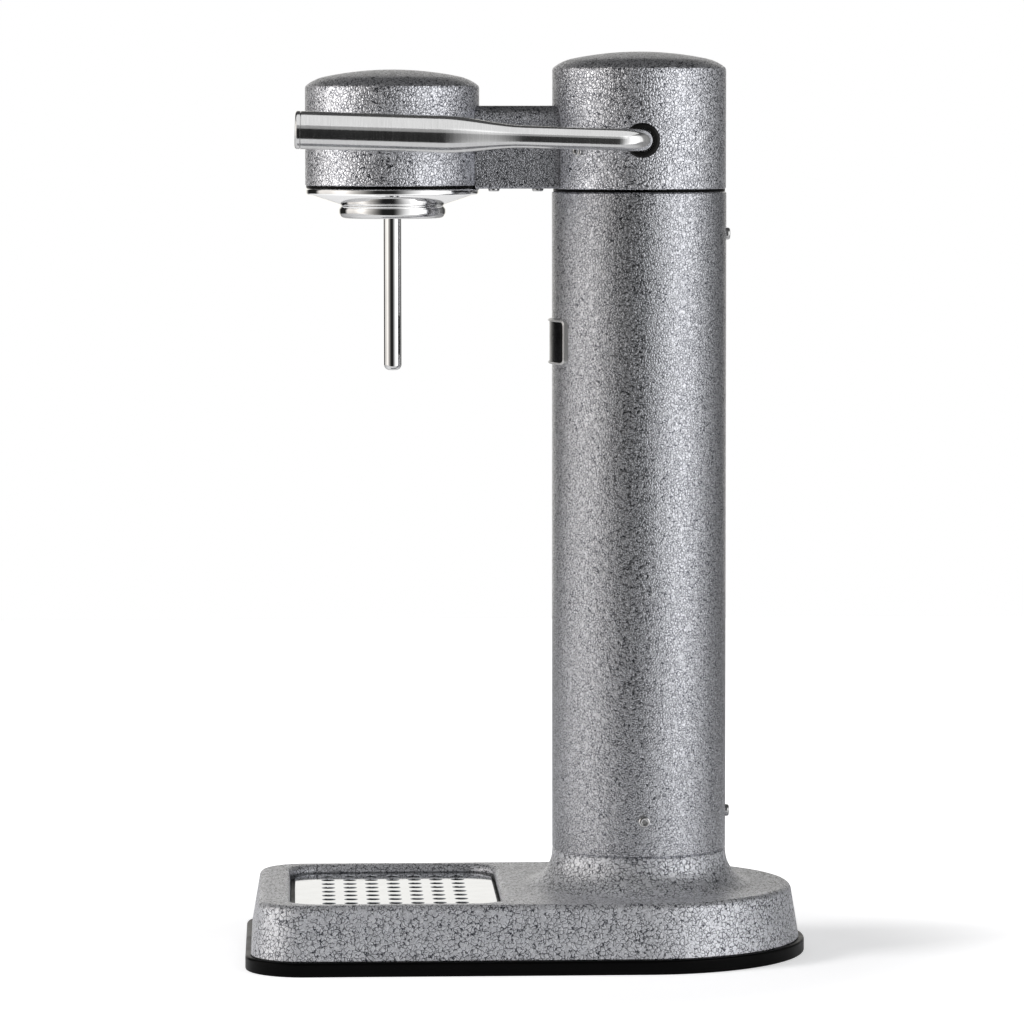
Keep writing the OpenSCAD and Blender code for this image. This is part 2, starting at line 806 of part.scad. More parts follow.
// Cast frame inside the top of the column: ring, web, cheeks for the shaft and posts
module head_frame() {
    color("#a9abad") difference() {
        union() {
            ring_solid(column_y, frame_ring_r, frame_ring_r - frame_ring_wall, frame_z0, frame_web_z1);
            post(0, column_y, frame_ring_r, frame_web_z0, frame_web_z1);
            for (s = [-1, 1])
                translate([s > 0 ? cheek_x0 : -cheek_x0 - cheek_t, pivot_y - cheek_w / 2, frame_web_z0])
                    cube([cheek_t, cheek_w, cheek_z1 - frame_web_z0]);
            at_head_posts(post_place_r)
                translate([0, 0, frame_web_z0])
                    cylinder(r = post_r, h = head_screw_z + post_top - frame_web_z0);
        }
        post(0, column_y, block_r + fit, frame_web_z0 - cut, frame_web_z1 + cut);
        translate([-cheek_x0 - cheek_t - cut, pivot_y, pivot_z]) rotate([0, 90, 0])
            cylinder(r = lever_r + run_fit, h = 2 * (cheek_x0 + cheek_t + cut));
        on_column(0, upper_screw_z) screw_hole(column_screw_len + fit);
        at_head_posts(head_in_r) translate([0, 0, head_screw_z]) rotate([90, 0, 0]) screw_hole(screw_len);
        at_block_screws() screw_hole(screw_len);
    }
}

// Domed head on the column, open to the bridge and drilled for the lever
module column_head() {
    color("#8f9297") difference() {
        domed_shell(column_y, head_top_z, column_gasket_z1);
        translate([head_in_r - head_wall - cut, pivot_y, pivot_z]) rotate([0, 90, 0])
            cylinder(d = bush_d + 2 * run_fit, h = column_r);
        bridge_window(column_y - head_r - cut, column_y);
        at_head_posts(head_r) translate([0, 0, head_screw_z]) rotate([90, 0, 0]) screw_hole(screw_len);
    }
}

// Window for the gas line in a head's wall
module bridge_window(y0, y1) {
    translate([0, y1, 0]) rotate([90, 0, 0]) linear_extrude(y1 - y0)
        bridge_section(bridge_wall, front_gasket_z1 + bridge_wall, bridge_edge_r - bridge_wall);
}

module head_screws() {
    color("silver") at_head_posts(head_r) translate([0, 0, head_screw_z]) rotate([90, 0, 0])
        screw(screw_len);
}

// Places children on the lever's pivot, tilted as at rest
module at_pivot() {
    translate([0, pivot_y, pivot_z]) rotate([-lever_tilt, 0, 0]) children();
}

// Bent steel lever: shaft, bend, taper and thick handle
module lever() {
    body_len = lever_len - lever_cap_len;
    handle_start = lever_len - handle_len;
    color("#c3c7cb") at_pivot() difference() {
        union() {
            translate([-shaft_in_x, 0, 0]) rotate([0, 90, 0])
                cylinder(r = lever_r, h = lever_x - lever_bend_r + shaft_in_x);
            translate([lever_x - lever_bend_r, -lever_bend_r, 0])
                rotate_extrude(angle = 90) translate([lever_bend_r, 0]) circle(r = lever_r);
            translate([lever_x, 0, 0]) rotate([90, 0, 0]) rotate_extrude() polygon(concat(
                [[0, lever_bend_r], [lever_r, lever_bend_r]],
                [for (i = [0:taper_steps]) let (s = i / taper_steps, swell = s * s * (3 - 2 * s))
                    [lever_r + (handle_r - lever_r) * swell, handle_start - taper_len * (1 - s)]],
                [[handle_r, body_len], [0, body_len]]));
        }
        // Bore for the end cap's stem
        translate([lever_x, -body_len + cap_stem_len + cut, 0]) rotate([90, 0, 0])
            cylinder(r = cap_stem_r + run_fit, h = cap_stem_len + 2 * cut);
        // Groove for the clip
        translate([clip_x1 - clip_t, 0, 0]) rotate([0, 90, 0]) difference() {
            cylinder(r = lever_r + cut, h = clip_t);
            cylinder(r = lever_r - groove_depth, h = clip_t);
        }
    }
}

// End cap of the handle with a shallow dish
module lever_cap() {
    color("#c3c7cb") at_pivot() translate([lever_x, -lever_len + lever_cap_len, 0]) rotate([90, 0, 0])
        rotate_extrude() polygon(concat(
            [[0, -cap_stem_len], [cap_stem_r, -cap_stem_len], [cap_stem_r, 0], [handle_r, 0]],
            arc(handle_r - lever_cap_edge_r, lever_cap_len - lever_cap_edge_r, lever_cap_edge_r, 0, 90),
            [[cap_dish_r, lever_cap_len], [cap_dish_r - cap_dish, lever_cap_len - cap_dish],
                [0, lever_cap_len - cap_dish]]));
}

// Black bush where the lever enters the head
module lever_bush() {
    color("#17181a") translate([bush_in_x, pivot_y, pivot_z]) rotate([0, 90, 0])
        rotate_extrude() polygon(concat(
            [[lever_r + fit, 0], [bush_d / 2, 0]],
            arc(bush_d / 2 - bush_edge_r, bush_out_x - bush_in_x - bush_edge_r, bush_edge_r, 0, 90, 3),
            [[lever_r + fit, bush_out_x - bush_in_x]]));
}

// Eccentric cam on the shaft
module lever_cam() {
    color("silver") at_pivot() rotate([lever_tilt, 0, 0]) difference() {
        translate([-cam_w / 2, -cam_throw, 0]) rotate([0, 90, 0]) cylinder(r = cam_r, h = cam_w);
        translate([-cam_w / 2 - cut, 0, 0]) rotate([0, 90, 0]) cylinder(r = lever_r, h = cam_w + 2 * cut);
    }
}

// Clip in the groove at the shaft's inner end
module shaft_clip() {
    color("silver") at_pivot() translate([clip_x1 - clip_t, 0, 0]) rotate([0, 90, 0]) difference() {
        cylinder(r = clip_r, h = clip_t);
        translate([0, 0, -cut]) cylinder(r = lever_r - groove_depth, h = clip_t + 2 * cut);
    }
}

// Painted bridge between the heads, a channel open below, with bosses for its cover
module bridge() {
    boss_z1 = bridge_z0 + cover_t + bridge_boss_h;
    color("#8f9297") difference() {
        union() {
            difference() {
                between_heads() bridge_section(0, bridge_z0 + cover_t, bridge_edge_r);
                between_heads() bridge_section(bridge_wall, bridge_z0 - cut, bridge_edge_r - bridge_wall);
            }
            for (s = [-1, 1])
                post(0, bridge_mid_y + s * bridge_screw_dy, bridge_boss_d / 2, bridge_z0 + cover_t, boss_z1);
            // Rib that ties the bosses to the side wall
            for (s = [-1, 1])
                translate([0, bridge_mid_y + s * bridge_screw_dy - bridge_wall / 2, bridge_z0 + cover_t])
                    cube([bridge_w / 2 - bridge_wall / 2, bridge_wall, bridge_boss_h]);
        }
        head_room(bridge_z0 - cut, head_top_z);
        for (s = [-1, 1])
            post(0, bridge_mid_y + s * bridge_screw_dy, screw_d / 2 + run_fit, bridge_z0 - cut, boss_z1 - cut);
    }
}

// Thin plate that closes the bridge from below
module bridge_cover() {
    half = bridge_w / 2;
    color("#8f9297") difference() {
        between_heads() polygon(concat(
            [[-half, bridge_z0 + cover_t]],
            arc(-half + cover_t, bridge_z0 + cover_t, cover_t, 180, 270, 4),
            arc(half - cover_t, bridge_z0 + cover_t, cover_t, 270, 360, 4)));
        head_room(bridge_z0 - cut, bridge_z0 + cover_t + cut);
        for (s = [-1, 1])
            post(0, bridge_mid_y + s * bridge_screw_dy, screw_d / 2 + run_fit,
                bridge_z0 - cut, bridge_z0 + 2 * cover_t);
    }
}

module bridge_screws() {
    color("silver") for (s = [-1, 1])
        translate([0, bridge_mid_y + s * bridge_screw_dy, bridge_z0]) rotate([180, 0, 0])
            screw(screw_len, bridge_screw_head_d, bridge_screw_head_h);
}

// Hose that carries the gas through the bridge
module gas_hose() {
    y1 = column_y - block_r - stub_len / 2;
    y0 = head_y + carrier_r + stub_len / 2;
    color("#dfe3e2") translate([hose_x, y1, hose_z]) rotate([90, 0, 0]) difference() {
        cylinder(d = hose_d, h = y1 - y0);
        translate([0, 0, -cut]) cylinder(d = hose_bore, h = y1 - y0 + 2 * cut);
    }
}

// Domed front head
module front_head() {
    color("#8f9297") difference() {
        domed_shell(head_y, front_top_z, front_gasket_z1);
        bridge_window(head_y, head_y + head_r + cut);
    }
}

module front_gasket() {
    color("#17181a") ring_solid(head_y, head_r - gasket_inset, head_r - gasket_w,
        plate_top_z, front_gasket_z1);
}

// Chrome plate under the front head, with a shallow cone below
module nozzle_plate() {
    side_z0 = plate_top_z - plate_band;
    color("#d4d8dc") difference() {
        turned(head_y, concat(
            [[ring_sleeve_r + fit, plate_top_z], [ring_sleeve_r + fit, plate_cone_z],
                [ring_r - gasket_inset, plate_cone_z]],
            arc(head_r - plate_edge_r, side_z0 + plate_edge_r, plate_edge_r, cone_foot_angle, 360, 4),
            [[head_r, plate_top_z]]));
        for (i = [0:carrier_screw_count - 1])
            translate([0, head_y, plate_top_z]) rotate([0, 0, 90 + 360 * i / carrier_screw_count])
                translate([carrier_screw_place_r, 0, 0]) screw_hole(carrier_screw_len - carrier_flange_t);
    }
}

// Carrier that holds the nozzle tube and joins it to the gas line
module nozzle_carrier() {
    flange_z1 = plate_top_z + carrier_flange_t;
    color("#2b2d30") difference() {
        union() {
            post(0, head_y, carrier_flange_r, plate_top_z, flange_z1);
            post(0, head_y, carrier_r, plate_top_z, carrier_top_z);
            translate([hose_x, head_y + stub_len, hose_z]) rotate([-90, 0, 0])
                cylinder(r = hose_boss_r, h = carrier_r - stub_len / 2);
            translate([hose_x, head_y + stub_len, hose_z]) rotate([-90, 0, 0])
                cylinder(r = hose_bore / 2 - run_fit, h = carrier_r + stub_len / 2);
        }
        post(0, head_y, nozzle_r + run_fit, plate_top_z - cut, nozzle_top_z);
        for (i = [0:carrier_screw_count - 1])
            translate([0, head_y, flange_z1]) rotate([0, 0, 90 + 360 * i / carrier_screw_count])
                translate([carrier_screw_place_r, 0, 0]) screw_hole(carrier_screw_len);
    }
}

module carrier_screws() {
    color("silver") for (i = [0:carrier_screw_count - 1])
        translate([0, head_y, plate_top_z + carrier_flange_t])
            rotate([0, 0, 90 + 360 * i / carrier_screw_count])
            translate([carrier_screw_place_r, 0, 0])
            screw(carrier_screw_len - run_fit, screw_head_d, screw_head_h);
}

// Brass valve that lets off too much pressure
module relief_valve() {
    color("#b8963e") {
        translate([0, head_y, carrier_top_z]) cylinder(r = relief_hex_r, h = relief_hex_h, $fn = 6);
        post(0, head_y, relief_body_r, carrier_top_z + relief_hex_h,
            carrier_top_z + relief_hex_h + relief_body_h);
    }
}

// Chrome ring with the socket for the bottle's neck
module bottle_ring() {
    color("#d4d8dc") turned(head_y, concat(
        [[socket_r, ring_z0]],
        arc(ring_r - ring_foot_r, ring_z0 + ring_foot_r, ring_foot_r, 270, 360),
        arc(ring_r - ring_top_r, ring_z1 - ring_top_r, ring_top_r, 0, ring_neck_angle, 4),
        [[ring_neck_r, plate_cone_z], [ring_sleeve_r, plate_cone_z],
            [ring_sleeve_r, plate_top_z], [nozzle_r + 2 * fit + seal_t, plate_top_z],
            [nozzle_r + 2 * fit + seal_t, socket_top_z], [socket_r, socket_top_z]]));
}

// Seal that the bottle's mouth presses on
module bottle_seal() {
    color("#1b1c1e") ring_solid(head_y, socket_r - fit, nozzle_r + fit, socket_top_z - seal_t, socket_top_z);
}

// Long tube that carries the gas into the water
module nozzle_tube() {
    color("#d4d8dc") difference() {
        post(0, head_y, nozzle_r, nozzle_z0 + tip_len, nozzle_top_z);
        post(0, head_y, nozzle_bore_r, nozzle_z0, nozzle_top_z + cut);
    }
}

// Rounded tip with the jet
module nozzle_tip() {
    color("#d4d8dc") turned(head_y, concat(
        [[orifice_r, nozzle_z0]],
        arc(nozzle_r - tip_round_r, nozzle_z0 + tip_round_r, tip_round_r, 270, 360),
        [[nozzle_r, nozzle_z0 + tip_len], [nozzle_bore_r - run_fit, nozzle_z0 + tip_len],
            [nozzle_bore_r - run_fit, nozzle_z0 + tip_len + tip_spigot_len],
            [orifice_r, nozzle_z0 + tip_len + tip_spigot_len]]));
}

base_ring();
base_plate();
plate_screws();
plate_posts();
base_casting();
tray_well();
bay_sleeve();
drip_tray();
drip_grille();
column_tube();
column_screws();
column_gasket();
badge_frame();
badge_panel();
co2_cylinder();
cylinder_valve();
cylinder_seal();
valve_pin();
valve_block();
block_screws();
push_rod();
return_spring();
head_frame();
column_head();
head_screws();
lever();
lever_cap();
lever_bush();
lever_cam();
shaft_clip();
bridge();
bridge_cover();
bridge_screws();
gas_hose();
front_head();
front_gasket();
nozzle_plate();
nozzle_carrier();
carrier_screws();
relief_valve();
bottle_ring();
bottle_seal();
nozzle_tube();
nozzle_tip();
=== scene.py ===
import json
import math

import bmesh
import bpy
from mathutils import Matrix, Vector


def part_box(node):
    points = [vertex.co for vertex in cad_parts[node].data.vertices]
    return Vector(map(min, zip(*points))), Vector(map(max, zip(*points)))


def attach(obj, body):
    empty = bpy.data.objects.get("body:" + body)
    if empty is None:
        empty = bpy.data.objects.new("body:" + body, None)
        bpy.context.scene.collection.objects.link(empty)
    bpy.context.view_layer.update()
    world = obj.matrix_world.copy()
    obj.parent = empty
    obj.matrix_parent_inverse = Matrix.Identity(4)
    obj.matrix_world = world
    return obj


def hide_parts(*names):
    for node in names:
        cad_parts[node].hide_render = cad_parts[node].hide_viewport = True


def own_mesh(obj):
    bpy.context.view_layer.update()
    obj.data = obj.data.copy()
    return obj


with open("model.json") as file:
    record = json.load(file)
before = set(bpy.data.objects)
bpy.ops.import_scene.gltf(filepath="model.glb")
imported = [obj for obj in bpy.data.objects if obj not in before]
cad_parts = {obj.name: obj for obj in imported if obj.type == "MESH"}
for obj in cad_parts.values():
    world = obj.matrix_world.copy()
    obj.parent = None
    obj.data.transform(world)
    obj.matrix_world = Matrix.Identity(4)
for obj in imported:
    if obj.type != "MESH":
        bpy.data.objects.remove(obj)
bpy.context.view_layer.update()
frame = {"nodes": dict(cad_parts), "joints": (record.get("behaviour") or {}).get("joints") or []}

# Sizes that the frame doesn't give, in metres, and angles in degrees
MM = 0.001

# Rubber rim
RIM_LEDGE = 2.5 * MM
RIM_EDGE = 1.2 * MM
RIM_FOOT_EDGE = 0.7 * MM
RIM_LAP = 2 * MM
RIM_WALL = 9 * MM

# Base casting, its recess and its collar
BASE_TOP = 31.2 * MM
BASE_CORNER = 27 * MM
BASE_DRAFT = 4 * MM
BASE_EDGE = 3 * MM
BASE_FOOT_EDGE = 0.4 * MM
RECESS_GAP = 3.5 * MM
RECESS_GAP_FRONT = 2 * MM
RECESS_GAP_BACK = 1.4 * MM
RECESS_CORNER = 14 * MM
RECESS_EDGE = 3.2 * MM
COLLAR_SWEEP = 15.5 * MM

# Grille
GRILLE_CORNER = 15 * MM
GRILLE_EDGE = 0.5 * MM
HOLE_R = 2.95 * MM
HOLE_CHAMFER = 0.3 * MM
HOLE_PITCH_X = 12.2 * MM
HOLE_PITCH_Y = 10.1 * MM
HOLE_ROWS = 9
HOLE_COLUMNS = 7

# Column, gaskets and heads
SEAM_EDGE = 0.6 * MM
COLUMN_BORE = 38 * MM
GASKET_DEPTH = 2 * MM
GASKET_ROUND_SHARE = 0.3
DOME_R = 150 * MM
KNUCKLE_R = 20 * MM
KNUCKLE_FROM = 52
DOME_EDGE = 2 * MM
HEAD_WALL = 3 * MM
HEAD_FOOT_EDGE = 0.35 * MM

# Bridge
BRIDGE_EDGE = 5.2 * MM
BRIDGE_WALL = 2.5 * MM
BRIDGE_SEAM = 0.15 * MM
COVER_ROUND_SHARE = 0.9

# Chrome plate and its cone, ring for the bottle's neck, and nozzle
PLATE_BAND = 3.1 * MM
PLATE_EDGE = 0.9 * MM
PLATE_TOP_EDGE = 1.1 * MM
CONE_DROP = 1.5 * MM
CONE_END_IN = 1 * MM
RING_BODY_IN = 5 * MM
RING_TOP_EDGE = 2.2 * MM
RING_FOOT_EDGE = 2.8 * MM
RING_SEAT = 0.2 * MM
SOCKET_R = 18.5 * MM
SOCKET_EDGE = 0.5 * MM
SOCKET_ROOF = 3 * MM
ROOF_REACH = 12 * MM
NOZZLE_BORE = 2.5 * MM
ORIFICE_R = 0.7 * MM
TIP_ROUND = 2.6 * MM

# Lever, its end cap and its bush
ROD_R = 5 * MM
HANDLE_R = 8.55 * MM
BEND_R = 11.5 * MM
LEVER_X = 51.5 * MM
LEVER_LEN = 156.7 * MM
HANDLE_LEN = 65.2 * MM
TAPER_LEN = 38 * MM
LEVER_TILT = 1.8
CAP_LEN = 2.7 * MM
CAP_EDGE = 1.2 * MM
CAP_GROOVE = 0.25 * MM
CAP_DISH_R = 5.6 * MM
CAP_DISH = 0.8 * MM
BUSH_EDGE = 1.6 * MM
BUSH_GAP = 0.1 * MM
BUSH_LIP = 0.5 * MM

# Badge
BADGE_CORNER = 2.5 * MM
BADGE_RIM = 0.9 * MM
BADGE_EDGE = 0.35 * MM
BADGE_STEP = 1.2 * MM
PANEL_GAP = 0.05 * MM
PANEL_LIFT = 0.02 * MM

# Screws and spring
SCREW_HEAD_R = 2.75 * MM
SCREW_HEAD_H = 1.8 * MM
BRIDGE_SCREW_R = 2.6 * MM
BRIDGE_SCREW_H = 1.4 * MM
HEAD_SCREW_ANGLE = 42.4
SCREW_ROUND_SHARE = 0.55
SCREW_ROUND_END = 80
SCREW_FOOT_EDGE = 0.1 * MM
SCREW_SUNK = 0.6 * MM
HEX_R = 1.3 * MM
HEX_RIM = 0.25 * MM
HEX_CHAMFER = 0.12 * MM
HEX_DEPTH = 0.9 * MM
SPRING_WIRE_R = 0.6 * MM
SPRING_TURNS = 5

# Fineness of the meshes: steps of full turns, of arcs and along pieces
TURN_STEPS = 192
ROD_STEPS = 96
BUSH_STEPS = 128
SCREW_STEPS = 48
HOLE_STEPS = 40
ARC_STEPS = 10
CORNER_STEPS = 24
BIG_CORNER_SHARE = 0.9
COLUMN_RINGS = 12
BRIDGE_ACROSS = 6
BRIDGE_ALONG = 12
SHAFT_STEPS = 12
BEND_STEPS = 24
HANDLE_STEPS = 90
PANEL_ACROSS = 40
PANEL_UP = 4
SPRING_TURN_STEPS = 24
SPRING_SIDES = 10
SMOOTH_ANGLE = 32
MERGE_DISTANCE = 1e-7
SAME_PLACE = 1e-6

# Hammer paint: sizes are shares of a cell, and levels are shares of the paint's own values
DRIFT_SCALE = 0.8
DRIFT_REACH = 1.4
VEIN_EDGE = (0.015, 0.105)
VEIN_BREAK_SIZE = 1.6
VEIN_BREAK = (0.34, 0.44)
VEIN_COLOUR = (0.045, 0.049, 0.064, 1)
PLATE_TINT = (0.978, 0.99, 1.045)
PLATE_LEVELS = (0.9, 1.08)
PILLOW_EDGE = (0.0, 0.35)
FLAKE_SIZE = 0.3
FLAKE_LEVELS = (0.84, 1.12)
FLAKE_ROUGHNESS = (0.88, 1.12)
FLAKE_HEIGHT = 0.2

# Other materials: sizes, and tones and roughnesses as shares of their own
BRUSH_SIZE = 0.4 * MM
BRUSH_DEPTH = 0.002 * MM
BRUSH_TONE = (0.93, 1.03)
BRUSH_ROUGHNESS = (0.8, 1.25)
BRUSH_PATCH = 14 * MM
BRUSH_PATCH_TONE = (-0.02, 0.02)
SMUDGE_SIZE = 9 * MM
SMUDGE_EDGE = (0.35, 0.65)
SMUDGE_TONE = 0.94
SMUDGE_ROUGHNESS = (0.7, 1.4)
METAL_GRAIN = 0.5 * MM
MOULD_PATCH = 11 * MM
MOULD_PALE = 1.35
MOULD_ROUGHNESS = (0.85, 1.15)

# Values between which most of a noise lies
NOISE_SPAN = (0.3, 0.7)

# Camera, solved from the photograph: place and target in millimetres
CAMERA_PLACE = (2453.1, -106.0, 388.8)
CAMERA_TARGET = (0, -5.95, 203.05)
CAMERA_ROLL = -0.06
CAMERA_LENS = 188.2
CAMERA_SENSOR = 36
CAMERA_REACH = 100

# Floor, and its glow by distance from the origin: as the camera sees it, and as metal mirrors it
FLOOR_NEAR = 0.33
FLOOR_FAR = -1.6
FLOOR_SIDE = 1.6
FLOOR_COLOUR = (0.85, 0.86, 0.89, 1)
FLOOR_SEEN = {"start": 0.15, "end": 0.3, "low": 0.55, "high": 1.0}
FLOOR_MIRRORED = {"start": 0.28, "end": 0.6, "low": 0.24, "high": 0.0}

# Studio round the object, in degrees: azimuth from +X towards +Y, and height above the horizon
FRONT_LIGHT = {"rise": (-124, -112), "fall": (-74, -20), "level": 0.98,
               "peak": (-94, -72, -50), "extra": 0.5}
BACK_LIGHT = {"rise": (0, 42), "fall": (82, 90), "level": 1.1,
              "peak": (34, 56, 78), "extra": 0.85}
BACK_TAIL = {"rise": (80, 90), "fall": (100, 160)}
TAIL_LEVEL = 0.3
SIDE_TOP = (24, 46)
FRONT_FOOT = (-3, 1)
FRONT_FOOT_LEVEL = 0.8
WALL_SIDE = (148, 165)
WALL_TOP = (14, 29)
OVERHEAD_FROM = (14, 35)
OVERHEAD_LEVEL = 0.055
BASE_LEVEL = 0.018
FRONT_TINT = (1.04, 1.0, 0.955, 1)
BACK_TINT = (1.0, 1.0, 1.0, 1)
WALL_TINT = (1.09, 1.07, 1.02, 1)

# Lamps: name, place, target, size, watts, colour, and the pieces that it is for, or none for all
WHITE = (1, 1, 1)
DAYLIGHT = (1.0, 0.985, 0.96)
HEADS = ("front_crown", "column_crown")
LEVER = ("lever_bar", "lever_end")
LAMPS = (
    ("key", (0.35, -1.3, 1.25), (0, 0, 0.1), (0.5, 0.5), 14, DAYLIGHT, ()),
    ("side_box", (0.18, -0.85, 0.4), (0, -0.13, 0.37), (0.36, 0.4), 0.95, DAYLIGHT, HEADS),
    ("panel_above", (0.98, 0, 1.69), (0.98, 0, 0.37), (2.6, 2.6), 17, WHITE, LEVER),
    ("panel_front", (2.2, 0, 1.2), (0, 0, 0.37), (2.6, 0.92), 2.4, WHITE, LEVER),
    ("panel_below", (0, -0.13, 0.003), (0, -0.13, 0.37), (3.0, 3.0), 14, WHITE, ("chrome_plate",)),
    ("panel_sky", (0, 0, 2.5), (0, 0, 0), (12, 12), 200, WHITE, ("grille_plate",)),
)


# Meshes
def arc(cx, cy, r, start, end, steps=ARC_STEPS):
    """Points of an arc from angle start to end, in degrees."""
    angles = [math.radians(start + (end - start) * i / steps) for i in range(steps + 1)]
    return [(cx + r * math.cos(a), cy + r * math.sin(a)) for a in angles]


def add_piece(name, verts, faces, finish, body, nodes=()):
    """A mesh piece that rides on a body and stands for CAD nodes. finish is (material, slot)."""
    mesh = bpy.data.meshes.new(name)
    mesh.from_pydata(verts, [], faces)
    shape = bmesh.new()
    shape.from_mesh(mesh)
    bmesh.ops.remove_doubles(shape, verts=shape.verts, dist=MERGE_DISTANCE)
    bmesh.ops.dissolve_degenerate(shape, dist=MERGE_DISTANCE, edges=shape.edges)
    bmesh.ops.recalc_face_normals(shape, faces=shape.faces)
    for face in shape.faces:
        face.smooth = True
    for edge in shape.edges:
        edge.smooth = len(edge.link_faces) == 2 and edge.calc_face_angle(0) < math.radians(SMOOTH_ANGLE)
    shape.to_mesh(mesh)
    shape.free()
    piece = bpy.data.objects.new(name, mesh)
    bpy.context.scene.collection.objects.link(piece)
    weighted = piece.modifiers.new("face_weighted_normals", "WEIGHTED_NORMAL")
    weighted.keep_sharp = True
    material, slot = finish
    mesh.materials.append(material)
    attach(piece, body)
    if nodes:
        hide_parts(*nodes)
    return piece


def join_rows(rows, closed_row=True, closed_stack=False):
    """Quads between rows of vertex numbers; a row of one vertex is a pole."""
    faces = []
    pairs = list(zip(rows, rows[1:]))
    if closed_stack:
        pairs.append((rows[-1], rows[0]))
    for low, high in pairs:
        count = max(len(low), len(high))
        for i in range(count if closed_row else count - 1):
            j = (i + 1) % count
            if len(low) == 1 and len(high) == 1:
                continue
            if len(low) == 1:
                faces.append((low[0], high[j], high[i]))
            elif len(high) == 1:
                faces.append((low[i], low[j], high[0]))
            else:
                faces.append((low[i], low[j], high[j], high[i]))
    return faces


def turned(profile, axis, steps=TURN_STEPS, closed=True):
    """Vertices and faces of (radius, height) points turned about the vertical axis at (x, y)."""
    verts = []
    rows = []
    for r, z in profile:
        first = len(verts)
        if r == 0:
            verts.append((axis[0], axis[1], z))
            rows.append([first])
            continue
        for i in range(steps):
            a = 2 * math.pi * i / steps
            verts.append((axis[0] + r * math.cos(a), axis[1] + r * math.sin(a), z))
        rows.append(list(range(first, first + steps)))
    return verts, join_rows(rows, closed_stack=closed)


def placed(verts, matrix):
    """The vertices moved by a matrix."""
    return [tuple(matrix @ Vector(v)) for v in verts]


def rounded_plan(half, y0, y1, front_r, back_r, inset):
    """A rounded plan outline moved inwards, always with the same number of points."""
    corners = [(half - front_r, y0 + front_r, front_r, -90), (half - back_r, y1 - back_r, back_r, 0),
               (back_r - half, y1 - back_r, back_r, 90), (front_r - half, y0 + front_r, front_r, 180)]
    points = []
    for cx, cy, r, start in corners:
        steps = CORNER_STEPS if r < half * BIG_CORNER_SHARE else 2 * CORNER_STEPS
        points += arc(cx, cy, r - inset, start, start + 90, steps)
    return points


def plan_rows(plan, levels, verts):
    """Rows of vertices of a plan outline at levels of (inset, height)."""
    half, y0, y1, front_r, back_r = plan
    rows = []
    for inset, z in levels:
        first = len(verts)
        verts.extend((x, y, z) for x, y in rounded_plan(half, y0, y1, front_r, back_r, inset))
        rows.append(list(range(first, len(verts))))
    return rows


def fill_plane(verts, rows, faces):
    """Fills the flat region between closed rows of vertices with triangles."""
    shape = bmesh.new()
    numbers = []
    edges = []
    for row in rows:
        made = [shape.verts.new(verts[i]) for i in row]
        numbers += row
        edges += [shape.edges.new(pair) for pair in zip(made, made[1:] + made[:1])]
    shape.verts.index_update()
    filled = bmesh.ops.triangle_fill(shape, edges=edges, use_beauty=True, normal=(0, 0, 1))
    for item in filled["geom"]:
        if isinstance(item, bmesh.types.BMFace):
            faces.append(tuple(numbers[v.index] for v in item.verts))
    shape.free()


def without_doubles(verts, row):
    """A row without neighbouring vertices at the same place."""
    def apart(i, j):
        return (Vector(verts[i]) - Vector(verts[j])).length > SAME_PLACE

    kept = []
    for i in row:
        if not kept or apart(i, kept[-1]):
            kept.append(i)
    if not apart(kept[0], kept[-1]):
        kept.pop()
    return kept


# Shader nodes
def add_node(tree, kind, inputs=None, **settings):
    """A shader node with its settings, and its inputs as values or links."""
    made = tree.nodes.new(kind)
    for key, value in settings.items():
        setattr(made, key, value)
    for key, value in (inputs or {}).items():
        if isinstance(value, bpy.types.NodeSocket):
            tree.links.new(value, made.inputs[key])
        else:
            made.inputs[key].default_value = value
    return made


def combined(tree, value):
    """A grey colour from a value."""
    return add_node(tree, "ShaderNodeCombineColor", {0: value, 1: value, 2: value}).outputs[0]


def math_node(tree, operation, a, b=0.0):
    """The result of an operation on two values."""
    return add_node(tree, "ShaderNodeMath", {0: a, 1: b}, operation=operation).outputs[0]


def ramp(tree, value, start, end, low=0.0, high=1.0):
    """A smooth step of a value, from low at start to high at end."""
    made = add_node(tree, "ShaderNodeMapRange", {"Value": value, "From Min": start, "From Max": end,
                                                 "To Min": low, "To Max": high},
                    interpolation_type="SMOOTHSTEP")
    return made.outputs["Result"]


def mixed(tree, factor, a, b, blend="MIX"):
    """A mix of two colours."""
    made = add_node(tree, "ShaderNodeMix", data_type="RGBA", blend_type=blend)
    for socket, value in ((made.inputs[0], factor), (made.inputs[6], a), (made.inputs[7], b)):
        if isinstance(value, bpy.types.NodeSocket):
            tree.links.new(value, socket)
        else:
            socket.default_value = value
    return made.outputs[2]


def grey(value):
    """A neutral colour."""
    return (value, value, value, 1)


def new_material(name, **shader):
    """A material with its tree, its shader and its object coordinates."""
    material = bpy.data.materials.new(name)
    material.use_nodes = True
    tree = material.node_tree
    principled = tree.nodes["Principled BSDF"]
    for key, value in shader.items():
        principled.inputs[key.replace("_", " ")].default_value = value
    place = add_node(tree, "ShaderNodeTexCoord").outputs["Object"]
    return material, tree, principled, place


def noise(tree, place, size, detail=2.0, roughness=0.5):
    """Noise with features of a size in metres."""
    made = add_node(tree, "ShaderNodeTexNoise", {"Vector": place, "Scale": 1 / size, "Detail": detail,
                                                 "Roughness": roughness})
    return made.outputs["Fac"]


def stretched(tree, place, scale):
    """Coordinates scaled by axis."""
    return add_node(tree, "ShaderNodeVectorMath", {0: place, 1: scale}, operation="MULTIPLY").outputs[0]


def relief(tree, principled, height, distance):
    """A bump of a height in metres."""
    made = add_node(tree, "ShaderNodeBump", {"Height": height, "Distance": distance, "Strength": 1.0})
    tree.links.new(made.outputs[0], principled.inputs["Normal"])


